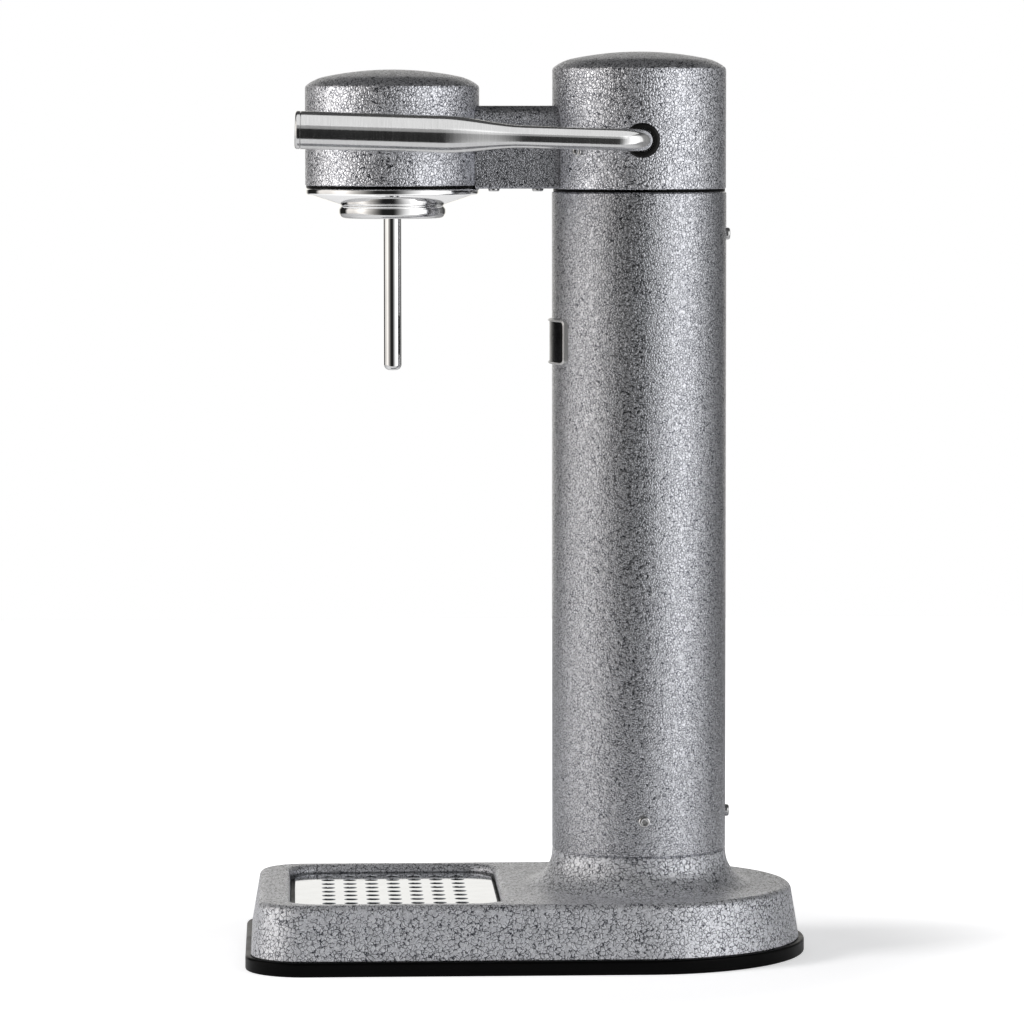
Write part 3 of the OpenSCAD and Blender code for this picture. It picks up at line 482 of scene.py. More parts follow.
def vary_roughness(tree, shader, pattern, roughness, shares):
    """Roughness that follows a noise between two shares of its own value."""
    low, high = (share * roughness for share in shares)
    tree.links.new(ramp(tree, pattern, *NOISE_SPAN, low, high), shader.inputs["Roughness"])


def hammered_paint(name, cell, pale, roughness, tilt, metallic):
    """Metallic hammer paint: pale pillowed plates of a cell's size between thin dark veins."""
    material, tree, shader, place = new_material(name, Metallic=metallic)
    drift = add_node(tree, "ShaderNodeTexNoise", {"Vector": place, "Scale": DRIFT_SCALE / cell,
                                                  "Detail": 2.0})
    centred = add_node(tree, "ShaderNodeVectorMath", {0: drift.outputs["Color"], 1: (0.5, 0.5, 0.5)},
                       operation="SUBTRACT").outputs[0]
    push = stretched(tree, centred, (DRIFT_REACH * cell,) * 3)
    bent = add_node(tree, "ShaderNodeVectorMath", {0: place, 1: push}, operation="ADD").outputs[0]
    cells = add_node(tree, "ShaderNodeTexVoronoi", {"Vector": bent, "Scale": 1 / cell},
                     feature="DISTANCE_TO_EDGE").outputs["Distance"]
    plates = add_node(tree, "ShaderNodeTexVoronoi", {"Vector": bent, "Scale": 1 / cell})
    shade = add_node(tree, "ShaderNodeSeparateColor", {0: plates.outputs["Color"]}).outputs[0]
    broken = ramp(tree, noise(tree, place, VEIN_BREAK_SIZE * cell, detail=1.0), *VEIN_BREAK)
    vein = math_node(tree, "MULTIPLY", ramp(tree, cells, *VEIN_EDGE, low=1.0, high=0.0), broken)
    flake = noise(tree, place, FLAKE_SIZE * cell, detail=1.0)
    level = math_node(tree, "MULTIPLY", ramp(tree, shade, 0.0, 1.0, *PLATE_LEVELS),
                      ramp(tree, flake, *NOISE_SPAN, *FLAKE_LEVELS))
    plate = mixed(tree, 1.0, tuple(c * pale for c in PLATE_TINT) + (1,), combined(tree, level), "MULTIPLY")
    tree.links.new(mixed(tree, vein, plate, VEIN_COLOUR), shader.inputs["Base Color"])
    vary_roughness(tree, shader, flake, roughness, FLAKE_ROUGHNESS)
    grain = math_node(tree, "MULTIPLY", flake, FLAKE_HEIGHT)
    relief(tree, shader, math_node(tree, "ADD", ramp(tree, cells, *PILLOW_EDGE), grain), tilt * cell)
    return material


def brushed_metal(name, colour, roughness, stretch, metallic=1.0):
    """Metal with fine brush marks: stretch scales the coordinates by axis, small along the marks."""
    material, tree, shader, place = new_material(name, Metallic=metallic)
    marks = noise(tree, stretched(tree, place, stretch), BRUSH_SIZE, detail=3.0, roughness=0.65)
    patches = noise(tree, place, BRUSH_PATCH)
    tone = math_node(tree, "ADD", ramp(tree, marks, *NOISE_SPAN, *BRUSH_TONE),
                     ramp(tree, patches, *NOISE_SPAN, *BRUSH_PATCH_TONE))
    tree.links.new(mixed(tree, 1.0, colour, combined(tree, tone), "MULTIPLY"), shader.inputs["Base Color"])
    vary_roughness(tree, shader, marks, roughness, BRUSH_ROUGHNESS)
    relief(tree, shader, marks, BRUSH_DEPTH)
    return material


def smooth_metal(name, colour, roughness, wave=0.0002 * MM):
    """Polished or cast metal with faint smudges, and a grain as deep as its wave."""
    material, tree, shader, place = new_material(name, Metallic=1.0)
    smudge = noise(tree, place, SMUDGE_SIZE, detail=4.0, roughness=0.6)
    dull = tuple(c * SMUDGE_TONE for c in colour[:3]) + (1,)
    tree.links.new(mixed(tree, ramp(tree, smudge, *SMUDGE_EDGE), colour, dull), shader.inputs["Base Color"])
    vary_roughness(tree, shader, smudge, roughness, SMUDGE_ROUGHNESS)
    relief(tree, shader, noise(tree, place, METAL_GRAIN), wave)
    return material


def moulded(name, colour, roughness, grain_size=0.35 * MM, depth=0.012 * MM, **more):
    """Rubber, plastic or gloss paint with a fine grain."""
    material, tree, shader, place = new_material(name, **more)
    patches = noise(tree, place, MOULD_PATCH, detail=3.0)
    pale = tuple(min(1.0, c * MOULD_PALE) for c in colour[:3]) + (1,)
    tree.links.new(mixed(tree, ramp(tree, patches, *NOISE_SPAN), colour, pale), shader.inputs["Base Color"])
    vary_roughness(tree, shader, patches, roughness, MOULD_ROUGHNESS)
    relief(tree, shader, noise(tree, place, grain_size), depth)
    return material


# Materials, each with the slot of the record that it fills
def painted(part, **look):
    """Hammer paint for one part of the machine, and its slot."""
    return hammered_paint("hammered_paint_" + part, **look), "hammered_paint"


# One hammer paint in copies: the cell sizes follow the real paint's texture, but each pale level is set to
# how bright that part looks, so the differences in pale between the copies are painted light and shade.
paint_base = painted("base", cell=1.8 * MM, pale=0.86, roughness=0.4, tilt=0.045, metallic=0.62)
# The well's paint is darker than the base's: its low pale is painted shade in the tray's recess.
shaded_well_paint = painted("well", cell=1.8 * MM, pale=0.5, roughness=0.41, tilt=0.04, metallic=0.9)
paint_head = painted("head", cell=1.5 * MM, pale=0.84, roughness=0.35, tilt=0.08, metallic=0.92)
# The bridge's paint is darker than the tube's: its low pale is painted shade of the gap between the heads
# behind the lever.
shaded_bridge_paint = painted("bridge", cell=1.15 * MM, pale=0.57, roughness=0.33, tilt=0.085, metallic=0.93)
paint_tube = painted("tube", cell=1.15 * MM, pale=0.69, roughness=0.28, tilt=0.078, metallic=0.97)
brushed = (brushed_metal("brushed_steel", grey(0.8), roughness=0.13, stretch=(0.05, 1, 0.05)),
           "brushed_steel")
satin = (brushed_metal("satin_metal", grey(0.66), roughness=0.34, stretch=(0.08, 1, 1), metallic=0.55),
         "satin_metal")
stainless = (smooth_metal("stainless", grey(0.72), roughness=0.22), "stainless")
polished = (smooth_metal("polished_steel", (0.64, 0.66, 0.69, 1), roughness=0.05), "polished_steel")
chrome = (smooth_metal("chrome", grey(0.88), roughness=0.04), "chrome")
brass = (smooth_metal("brass", (0.55, 0.36, 0.12, 1), roughness=0.28), "brass")
cast_alloy = (smooth_metal("cast_alloy", grey(0.42), roughness=0.5, wave=0.03 * MM), "cast_alloy")
rubber = (moulded("black_rubber", (0.0018, 0.0018, 0.0019, 1), roughness=0.34, Specular_IOR_Level=0.06),
          "black_rubber")
soft_rubber = (moulded("soft_rubber", grey(0.004), roughness=0.42, Specular_IOR_Level=0.25), "black_rubber")
badge_black = (moulded("badge_black", (0.003, 0.003, 0.0035, 1), roughness=0.24, Specular_IOR_Level=0.25),
               "badge_black")
plastic = (moulded("black_plastic", (0.02, 0.021, 0.023, 1), roughness=0.5), "black_plastic")
cylinder_paint = (moulded("cylinder_paint", (0.11, 0.16, 0.2, 1), roughness=0.35, grain_size=0.8 * MM,
                          depth=0.01 * MM), "cylinder_paint")
hose_white = (moulded("hose_white", (0.72, 0.75, 0.74, 1), roughness=0.35), "hose_white")

# Finish of the CAD nodes that stay as they are
INNER_FINISH = {
    "base_plate": plastic, "plate_screws": stainless, "plate_posts": stainless, "bay_sleeve": plastic,
    "tray_well": shaded_well_paint, "drip_tray": plastic, "co2_cylinder": cylinder_paint, "cylinder_valve": brass,
    # tray_well takes the darker well paint, whose low pale is painted shade in the recess.
    "cylinder_seal": rubber, "valve_pin": stainless, "valve_block": brass, "block_screws": stainless,
    "push_rod": stainless, "head_frame": cast_alloy, "lever_cam": stainless,
    "shaft_clip": stainless, "gas_hose": hose_white, "nozzle_carrier": plastic, "carrier_screws": stainless,
    "relief_valve": brass, "bottle_seal": rubber,
}


def finish_inner_nodes():
    """Gives each CAD node that stays its material."""
    for node, (material, _) in INNER_FINISH.items():
        slots = frame["nodes"][node].data.materials
        slots.clear()
        slots.append(material)


# Measures of the frame that several pieces share
rim_low, rim_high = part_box("base_ring")
base_half = rim_high.x
rim_top = rim_high.z
column_low, column_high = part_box("column_tube")
column_r = (column_high.x - column_low.x) / 2
column_at = (0.0, (column_low.y + column_high.y) / 2)
grille_low, grille_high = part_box("drip_grille")
base_plan = (base_half, rim_low.y, rim_high.y, BASE_CORNER, base_half)
recess_plan = (grille_high.x + RECESS_GAP, grille_low.y - RECESS_GAP_FRONT, grille_high.y + RECESS_GAP_BACK,
               RECESS_CORNER, RECESS_CORNER)


def make_base_rim():
    """The rubber rim that the machine stands on."""
    verts = []
    levels = [(RIM_WALL, 0), (RIM_FOOT_EDGE, 0)]
    levels += [(RIM_FOOT_EDGE - x, RIM_FOOT_EDGE + y) for x, y in arc(0, 0, RIM_FOOT_EDGE, -90, 0, steps=5)]
    levels += [(RIM_EDGE - x, rim_top - RIM_EDGE + y) for x, y in arc(0, 0, RIM_EDGE, 0, 90, steps=6)]
    levels += [(RIM_LEDGE + RIM_LAP, rim_top), (RIM_WALL, rim_top)]
    faces = join_rows(plan_rows(base_plan, levels, verts), closed_stack=True)
    add_piece("base_rim", verts, faces, rubber, "machine", ["base_ring"])


def casting_levels():
    """Insets and heights of the casting's side, leaning in to a rounded top edge."""
    lean = math.atan(BASE_DRAFT / (BASE_TOP - rim_top))
    top = RIM_LEDGE + BASE_DRAFT
    centre = top + BASE_EDGE * (1 - math.sin(lean)) / math.cos(lean)
    foot = [(RIM_LEDGE + BASE_FOOT_EDGE, rim_top), (RIM_LEDGE, rim_top + BASE_FOOT_EDGE)]
    edge = arc(0, 0, BASE_EDGE, math.degrees(lean), 90)
    return foot + [(centre - x, BASE_TOP - BASE_EDGE + y) for x, y in edge]


def make_base_body():
    """The painted casting: its side, the tray's recess and the collar that sweeps up to the column."""
    verts = []
    outer = plan_rows(base_plan, casting_levels(), verts)
    edge = [(x - RECESS_EDGE, BASE_TOP - RECESS_EDGE + y) for x, y in arc(0, 0, RECESS_EDGE, 0, 90)]
    recess = plan_rows(recess_plan, [(0, BASE_TOP - RECESS_EDGE)] + edge, verts)
    collar_z = column_low.z
    sweep = arc(column_r + COLLAR_SWEEP, BASE_TOP + COLLAR_SWEEP, COLLAR_SWEEP, 270, 180, 2 * ARC_STEPS)
    profile = sweep + [(column_r, collar_z - SEAM_EDGE), (column_r - SEAM_EDGE, collar_z),
                       (COLUMN_BORE, collar_z), (COLUMN_BORE, rim_top)]
    first = len(verts)
    collar_verts, collar_faces = turned(profile, column_at, closed=False)
    verts.extend(collar_verts)
    faces = join_rows(outer) + join_rows(recess)
    faces += [tuple(i + first for i in face) for face in collar_faces]
    foot = list(range(first, first + TURN_STEPS))
    bore = list(range(first + (len(profile) - 1) * TURN_STEPS, first + len(profile) * TURN_STEPS))
    for level, hole in ((-1, foot), (0, bore)):
        borders = [without_doubles(verts, rows[level]) for rows in (outer, recess)]
        fill_plane(verts, borders + [hole], faces)
    add_piece("base_body", verts, faces, paint_base, "machine", ["base_casting"])


def make_grille():
    """The polished grille with its rows of round holes."""
    verts = []
    low, high = grille_low, grille_high
    plan = (high.x, low.y, high.y, GRILLE_CORNER, GRILLE_CORNER)
    edge = arc(0, 0, GRILLE_EDGE, 0, 90, steps=4)
    levels = [(0, low.z)] + [(GRILLE_EDGE - x, high.z - GRILLE_EDGE + y) for x, y in edge]
    rows = plan_rows(plan, levels, verts)
    faces = join_rows(rows)
    tops = [without_doubles(verts, rows[-1])]
    floors = [without_doubles(verts, rows[0])]
    middle = (recess_plan[1] + recess_plan[2]) / 2
    hole = [(HOLE_R, low.z), (HOLE_R, high.z - HOLE_CHAMFER), (HOLE_R + HOLE_CHAMFER, high.z)]
    for column in range(HOLE_COLUMNS):
        for row in range(HOLE_ROWS):
            x = (row - (HOLE_ROWS - 1) / 2) * HOLE_PITCH_X
            y = middle + (column - (HOLE_COLUMNS - 1) / 2) * HOLE_PITCH_Y
            first = len(verts)
            hole_verts, hole_faces = turned(hole, (x, y), HOLE_STEPS, closed=False)
            verts.extend(hole_verts)
            faces += [tuple(i + first for i in face) for face in hole_faces]
            floors.append(list(range(first, first + HOLE_STEPS)))
            tops.append(list(range(first + 2 * HOLE_STEPS, first + 3 * HOLE_STEPS)))
    fill_plane(verts, tops, faces)
    fill_plane(verts, floors, faces)
    add_piece("grille_plate", verts, faces, polished, "grille", ["drip_grille"])


def make_column():
    """The column's tube, with a chamfer at each seam."""
    low, high = column_low.z, column_high.z
    bottom, top = low + SEAM_EDGE, high - SEAM_EDGE
    profile = [(COLUMN_BORE, low), (column_r - SEAM_EDGE, low)]
    profile += [(column_r, bottom + (high - low - 2 * SEAM_EDGE) * i / COLUMN_RINGS)
                for i in range(COLUMN_RINGS)]
    profile += [(column_r, top), (column_r - SEAM_EDGE, high), (COLUMN_BORE, high)]
    verts, faces = turned(profile, column_at)
    add_piece("column_side", verts, faces, paint_tube, "machine", ["column_tube"])


def make_gaskets():
    """The black gaskets in the seams of the column and the front head."""
    for name, node in (("column_seam_gasket", "column_gasket"), ("front_seam_gasket", "front_gasket")):
        low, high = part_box(node)
        r = (high.x - low.x) / 2
        axis = (0.0, (low.y + high.y) / 2)
        edge = (high.z - low.z) * GASKET_ROUND_SHARE
        profile = [(r - GASKET_DEPTH, low.z), (r - edge, low.z)]
        profile += arc(r - edge, low.z + edge, edge, -90, 0, steps=3)
        profile += arc(r - edge, high.z - edge, edge, 0, 90, steps=3)
        profile += [(r - GASKET_DEPTH, high.z)]
        verts, faces = turned(profile, axis)
        add_piece(name, verts, faces, rubber, "machine", [node])


def dome_profile(r, top):
    """Points from a domed head's side, round its edge and its knuckle, to the middle of its crown."""
    start = math.radians(KNUCKLE_FROM)
    edge_in = DOME_EDGE * (1 - math.cos(start))
    end = math.acos((r - edge_in - KNUCKLE_R * math.cos(start)) / (DOME_R - KNUCKLE_R))
    knuckle_x = (DOME_R - KNUCKLE_R) * math.cos(end)
    knuckle_z = top - DOME_R + (DOME_R - KNUCKLE_R) * math.sin(end)
    edge_z = knuckle_z + (KNUCKLE_R - DOME_EDGE) * math.sin(start)
    points = arc(r - DOME_EDGE, edge_z, DOME_EDGE, 0, KNUCKLE_FROM, steps=8)
    points += arc(knuckle_x, knuckle_z, KNUCKLE_R, KNUCKLE_FROM, math.degrees(end))[1:]
    return points + arc(0, top - DOME_R, DOME_R, math.degrees(end), 90, steps=24)[1:-1] + [(0.0, top)]


def make_heads():
    """The domed shells of the column head and the front head."""
    for name, node in (("column_crown", "column_head"), ("front_crown", "front_head")):
        low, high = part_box(node)
        r = (high.x - low.x) / 2
        axis = (0.0, (low.y + high.y) / 2)
        outer = dome_profile(r, high.z)
        inner = [(x * (r - HEAD_WALL) / r, z - HEAD_WALL) for x, z in outer]
        profile = [(r - HEAD_WALL, low.z), (r - HEAD_FOOT_EDGE, low.z), (r, low.z + HEAD_FOOT_EDGE)]
        verts, faces = turned(profile + outer + inner[::-1], axis)
        add_piece(name, verts, faces, paint_head, "machine", [node])


def spaced(start, end, steps):
    """Values in even steps from start to end, both included."""
    return [start + (end - start) * i / steps for i in range(steps + 1)]


def bridge_section(half, low_z, high_z):
    """Outline across the bridge as (x, height): rounded above, with a channel below for the gas line."""
    left = arc(BRIDGE_EDGE - half, high_z - BRIDGE_EDGE, BRIDGE_EDGE, 90, 180)
    right = arc(half - BRIDGE_EDGE, high_z - BRIDGE_EDGE, BRIDGE_EDGE, 0, 90)
    top = [(x, high_z) for x in spaced(half - BRIDGE_EDGE, BRIDGE_EDGE - half, BRIDGE_ACROSS)[1:-1]]
    inner = half - BRIDGE_WALL
    channel = [(x, high_z - BRIDGE_WALL) for x in spaced(-inner, inner, BRIDGE_ACROSS)]
    feet = [(-half, low_z), (-inner, low_z)]
    return [(half, low_z)] + right + top + left + feet + channel + [(inner, low_z)]


def cover_section(half, low_z, high_z):
    """Outline across the bridge's bottom cover as (x, height), rounded below."""
    edge = (high_z - low_z) * COVER_ROUND_SHARE
    left = arc(edge - half, low_z + edge, edge, 180, 270, steps=6)
    right = arc(half - edge, low_z + edge, edge, 270, 360, steps=6)
    foot = [(x, low_z) for x in spaced(edge - half, half - edge, BRIDGE_ACROSS)[1:-1]]
    top = [(x, high_z) for x in spaced(half, -half, BRIDGE_ACROSS)[:-1]]
    return [(-half, high_z)] + left + foot + right + top


def make_bridge():
    """The bridge and its bottom cover, cut to the front head and the column at their ends."""
    low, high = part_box("bridge")
    cover_low, cover_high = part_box("bridge_cover")
    head_low, head_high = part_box("front_head")
    head_r = (head_high.x - head_low.x) / 2 + BRIDGE_SEAM
    head_y = (head_low.y + head_high.y) / 2
    body = bridge_section(high.x, low.z, high.z)
    cover = cover_section(high.x, cover_low.z, cover_high.z)
    for name, node, section in (("bridge_body", "bridge", body), ("bridge_foot", "bridge_cover", cover)):
        verts = []
        rows = []
        for i in range(BRIDGE_ALONG + 1):
            first = len(verts)
            for x, z in section:
                reach = math.sqrt(head_r ** 2 - x ** 2)
                y0, y1 = head_y + reach, column_at[1] - reach
                verts.append((x, y0 + (y1 - y0) * i / BRIDGE_ALONG, z))
            rows.append(list(range(first, len(verts))))
        faces = join_rows(rows) + [tuple(rows[0]), tuple(rows[-1][::-1])]
        # The bridge and its cover take the darker bridge paint, whose low pale is painted shade.
        add_piece(name, verts, faces, shaded_bridge_paint, "machine", [node])


def make_plate_and_ring(axis):
    """The chrome plate with its cone, and the ring that takes the bottle's neck."""
    low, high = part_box("nozzle_plate")
    ring_low, ring_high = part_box("bottle_ring")
    r = (high.x - low.x) / 2
    ring_r = (ring_high.x - ring_low.x) / 2
    band_z = high.z - PLATE_BAND
    cone_z = low.z - CONE_DROP
    cone_angle = math.degrees(math.atan2(band_z - cone_z, r - ring_r + CONE_END_IN))
    inner_r = ring_r - RING_BODY_IN
    profile = [(inner_r, high.z), (inner_r, cone_z), (ring_r - CONE_END_IN, cone_z)]
    profile += arc(r - PLATE_EDGE, band_z + PLATE_EDGE, PLATE_EDGE, 270 + cone_angle, 360)
    profile += arc(r - PLATE_TOP_EDGE, high.z - PLATE_TOP_EDGE, PLATE_TOP_EDGE, 0, 90, steps=8)
    verts, faces = turned(profile, axis)
    add_piece("chrome_plate", verts, faces, chrome, "machine", ["nozzle_plate"])

    top_z = cone_z + RING_SEAT
    roof_z = ring_high.z - SOCKET_ROOF
    profile = [(SOCKET_R, ring_low.z + SOCKET_EDGE), (SOCKET_R + SOCKET_EDGE, ring_low.z)]
    profile += arc(ring_r - RING_FOOT_EDGE, ring_low.z + RING_FOOT_EDGE, RING_FOOT_EDGE, 270, 360, steps=14)
    profile += arc(ring_r - RING_TOP_EDGE, top_z - RING_TOP_EDGE, RING_TOP_EDGE, 0, 90, steps=14)
    profile += [(inner_r, top_z), (inner_r, ring_high.z), (SOCKET_R - ROOF_REACH, ring_high.z),
                (SOCKET_R - ROOF_REACH, roof_z), (SOCKET_R, roof_z)]
    verts, faces = turned(profile, axis)
    add_piece("neck_ring", verts, faces, chrome, "machine", ["bottle_ring"])


def make_nozzle(axis):
    """The nozzle's tube and its rounded tip."""
    low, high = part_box("nozzle_tube")
    tip_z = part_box("nozzle_tip")[0].z
    r = (high.x - low.x) / 2
    profile = [(NOZZLE_BORE, low.z), (r, low.z), (r, high.z), (NOZZLE_BORE, high.z)]
    verts, faces = turned(profile, axis, ROD_STEPS)
    add_piece("long_tube", verts, faces, chrome, "machine", ["nozzle_tube"])
    profile = [(ORIFICE_R, tip_z)] + arc(r - TIP_ROUND, tip_z + TIP_ROUND, TIP_ROUND, 270, 360, steps=12)
    verts, faces = turned(profile + [(r, low.z), (ORIFICE_R, low.z)], axis, ROD_STEPS)
    add_piece("jet_tip", verts, faces, chrome, "machine", ["nozzle_tip"])


def make_nozzle_group():
    """Everything in chrome under the front head."""
    low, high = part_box("nozzle_plate")
    axis = (0.0, (low.y + high.y) / 2)
    make_plate_and_ring(axis)
    make_nozzle(axis)


# The lever's pivot, and its place at rest
lever_joint = next(j for j in frame["joints"] if j["name"] == "lever_swing")
pivot = Vector(lever_joint["pos_m"])
lever_place = Matrix.Translation(pivot) @ Matrix.Rotation(math.radians(-LEVER_TILT), 4, "X")


def lever_path():
    """Stations of the lever as (x, y, heading in degrees, radius), from the shaft's end to the cap."""
    shaft_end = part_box("lever")[0].x
    shaft = LEVER_X - BEND_R - shaft_end
    stations = [(shaft_end + shaft * i / SHAFT_STEPS, 0.0, 0.0, ROD_R) for i in range(SHAFT_STEPS)]
    for i in range(BEND_STEPS + 1):
        turn = 90 * i / BEND_STEPS
        a = math.radians(turn)
        x = LEVER_X - BEND_R + BEND_R * math.sin(a)
        stations.append((x, -BEND_R + BEND_R * math.cos(a), -turn, ROD_R))
    run = LEVER_LEN - CAP_LEN - BEND_R
    taper_from = LEVER_LEN - HANDLE_LEN - TAPER_LEN
    for i in range(1, HANDLE_STEPS + 1):
        y = BEND_R + run * i / HANDLE_STEPS
        share = min(1.0, max(0.0, (y - taper_from) / TAPER_LEN))
        swell = share * share * (3 - 2 * share)
        stations.append((LEVER_X, -y, -90.0, ROD_R + (HANDLE_R - ROD_R) * swell))
    return stations


def make_lever():
    """The bent lever that thickens into its handle, and the dished cap on its end."""
    verts = []
    rows = []
    for x, y, heading, r in lever_path():
        a = math.radians(heading)
        across = Vector((-math.sin(a), math.cos(a), 0))
        first = len(verts)
        for j in range(ROD_STEPS):
            b = 2 * math.pi * j / ROD_STEPS
            offset = across * (r * math.cos(b)) + Vector((0, 0, r * math.sin(b)))
            verts.append((x + offset.x, y + offset.y, offset.z))
        rows.append(list(range(first, len(verts))))
    faces = join_rows(rows) + [tuple(rows[0]), tuple(rows[-1][::-1])]
    add_piece("lever_bar", placed(verts, lever_place), faces, brushed, "lever", ["lever"])

    end = Matrix.Translation((LEVER_X, CAP_LEN - LEVER_LEN, 0))
    along = end @ Matrix.Rotation(math.radians(90), 4, "X")
    profile = [(0.0, 0.0), (HANDLE_R - 2 * CAP_GROOVE, 0.0), (HANDLE_R - CAP_GROOVE, CAP_GROOVE),
               (HANDLE_R, 2 * CAP_GROOVE)]
    profile += arc(HANDLE_R - CAP_EDGE, CAP_LEN - CAP_EDGE, CAP_EDGE, 0, 90, steps=8)
    dish_z = CAP_LEN - CAP_DISH
    profile += [(CAP_DISH_R, CAP_LEN), (CAP_DISH_R - CAP_DISH, dish_z), (0.0, dish_z)]
    verts, faces = turned(profile, (0, 0), ROD_STEPS, closed=False)
    add_piece("lever_end", placed(verts, lever_place @ along), faces, brushed, "lever", ["lever_cap"])


def make_bush():
    """The black bush where the lever enters the column head."""
    low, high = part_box("lever_bush")
    r = (high.z - low.z) / 2
    width = high.x - low.x
    bore = ROD_R + BUSH_GAP
    profile = [(bore, 0.0), (r, 0.0)] + arc(r - BUSH_EDGE, width - BUSH_EDGE, BUSH_EDGE, 0, 90, steps=8)
    profile += [(bore + BUSH_LIP, width), (bore, width - BUSH_LIP)]
    verts, faces = turned(profile, (0, 0), BUSH_STEPS)
    place = Matrix.Translation((low.x, pivot.y, pivot.z)) @ Matrix.Rotation(math.radians(90), 4, "Y")
    add_piece("bush_ring", placed(verts, place), faces, soft_rubber, "machine", ["lever_bush"])


def badge_outline(half_w, half_h):
    """The badge's rounded outline as (x, height), in steps short enough to follow the column."""
    corners = []
    for sx, sy, start in ((1, 1, 0), (-1, 1, 90), (-1, -1, 180), (1, -1, 270)):
        cx, cy = sx * (half_w - BADGE_CORNER), sy * (half_h - BADGE_CORNER)
        corners += arc(cx, cy, BADGE_CORNER, start, start + 90, steps=8)
    points = []
    for a, b in zip(corners, corners[1:] + corners[:1]):
        steps = max(1, int((Vector(a) - Vector(b)).length / BADGE_STEP))
        points += [(a[0] + (b[0] - a[0]) * i / steps, a[1] + (b[1] - a[1]) * i / steps)
                   for i in range(steps)]
    return points


def bent_row(points, r, middle, verts):
    """A row of vertices of (x, height) points laid round the column's front at a radius."""
    first = len(verts)
    for x, h in points:
        verts.append((x, column_at[1] - math.sqrt(r * r - x * x), middle + h))
    return list(range(first, len(verts)))


def make_badge_panel(half_w, half_h, front_r, middle):
    """The badge's bare black panel."""
    verts = []
    sides = []
    for r in (front_r, column_r + PANEL_LIFT):
        rows = []
        for j in range(PANEL_UP + 1):
            h = -half_h + 2 * half_h * j / PANEL_UP
            points = [(-half_w + 2 * half_w * i / PANEL_ACROSS, h) for i in range(PANEL_ACROSS + 1)]
            rows.append(bent_row(points, r, middle, verts))
        sides.append(rows)
    faces = join_rows(sides[0], closed_row=False) + join_rows(sides[1], closed_row=False)
    borders = [rows[0] + [row[-1] for row in rows[1:]] + rows[-1][-2::-1]
               + [row[0] for row in rows[-2:0:-1]] for rows in sides]
    faces += join_rows(borders)
    add_piece("badge_field", verts, faces, badge_black, "machine", ["badge_panel"])


def make_badge():
    """The badge: a satin frame round a bare panel, both bent round the column's front."""
    low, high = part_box("badge_frame")
    half_w, half_h = high.x, (high.z - low.z) / 2
    middle = (high.z + low.z) / 2
    front_r = column_at[1] - low.y
    outline = badge_outline(half_w, half_h)
    verts = []
    rows = []
    edge_r = front_r - BADGE_EDGE
    for inset, r in ((0, column_r), (0, edge_r), (BADGE_EDGE, front_r),
                     (BADGE_RIM - BADGE_EDGE, front_r), (BADGE_RIM, edge_r), (BADGE_RIM, column_r)):
        points = [(x * (half_w - inset) / half_w, h * (half_h - inset) / half_h) for x, h in outline]
        rows.append(bent_row(points, r, middle, verts))
    faces = join_rows(rows, closed_stack=True)
    add_piece("badge_border", verts, faces, satin, "machine", ["badge_frame"])
    panel_r = column_at[1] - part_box("badge_panel")[0].y
    make_badge_panel(half_w - BADGE_RIM - PANEL_GAP, half_h - BADGE_RIM - PANEL_GAP, panel_r, middle)


def make_screw(name, place, head_r, head_h, nodes):
    """A pan head with a hex socket, standing on z = 0 of its place."""
    edge = head_h * SCREW_ROUND_SHARE
    outer = [(head_r - SCREW_FOOT_EDGE, -SCREW_SUNK), (head_r, SCREW_FOOT_EDGE)]
    outer += arc(head_r - edge, head_h - edge, edge, 0, SCREW_ROUND_END, steps=8)
    outer += [(HEX_R + HEX_RIM, head_h)]
    verts, faces = turned(outer, (0, 0), SCREW_STEPS, closed=False)
    bottom = list(range(SCREW_STEPS))
    top = list(range(len(verts) - SCREW_STEPS, len(verts)))

    def hexagon(z):
        """A row of vertices round the socket at a height."""
        first = len(verts)
        side = math.radians(60)
        for i in range(SCREW_STEPS):
            a = 2 * math.pi * i / SCREW_STEPS
            r = HEX_R * math.cos(side / 2) / math.cos(side / 2 - (a % side))
            verts.append((r * math.cos(a), r * math.sin(a), z))
        return list(range(first, first + SCREW_STEPS))

    mouth = hexagon(head_h - HEX_CHAMFER)
    floor = hexagon(head_h - HEX_DEPTH)
    faces += join_rows([top, mouth, floor]) + [tuple(floor[::-1]), tuple(bottom[::-1])]
    add_piece(name, placed(verts, place), faces, stainless, "machine", nodes)


def make_screw_group(name, node, places, head_r, head_h):
    """Screws of one size, numbered from 0. The first of them stands for their node."""
    for i, place in enumerate(places):
        make_screw(f"{name}_{i}", place, head_r, head_h, [node] if i == 0 else [])


def column_place(degrees, z, r):
    """Place on an upright cylinder's side at an angle from the back, pointing outwards."""
    turn = Matrix.Rotation(math.radians(degrees), 4, "Z")
    outwards = Matrix.Translation((0, r, 0)) @ Matrix.Rotation(math.radians(-90), 4, "X")
    return Matrix.Translation((column_at[0], column_at[1], z)) @ turn @ outwards


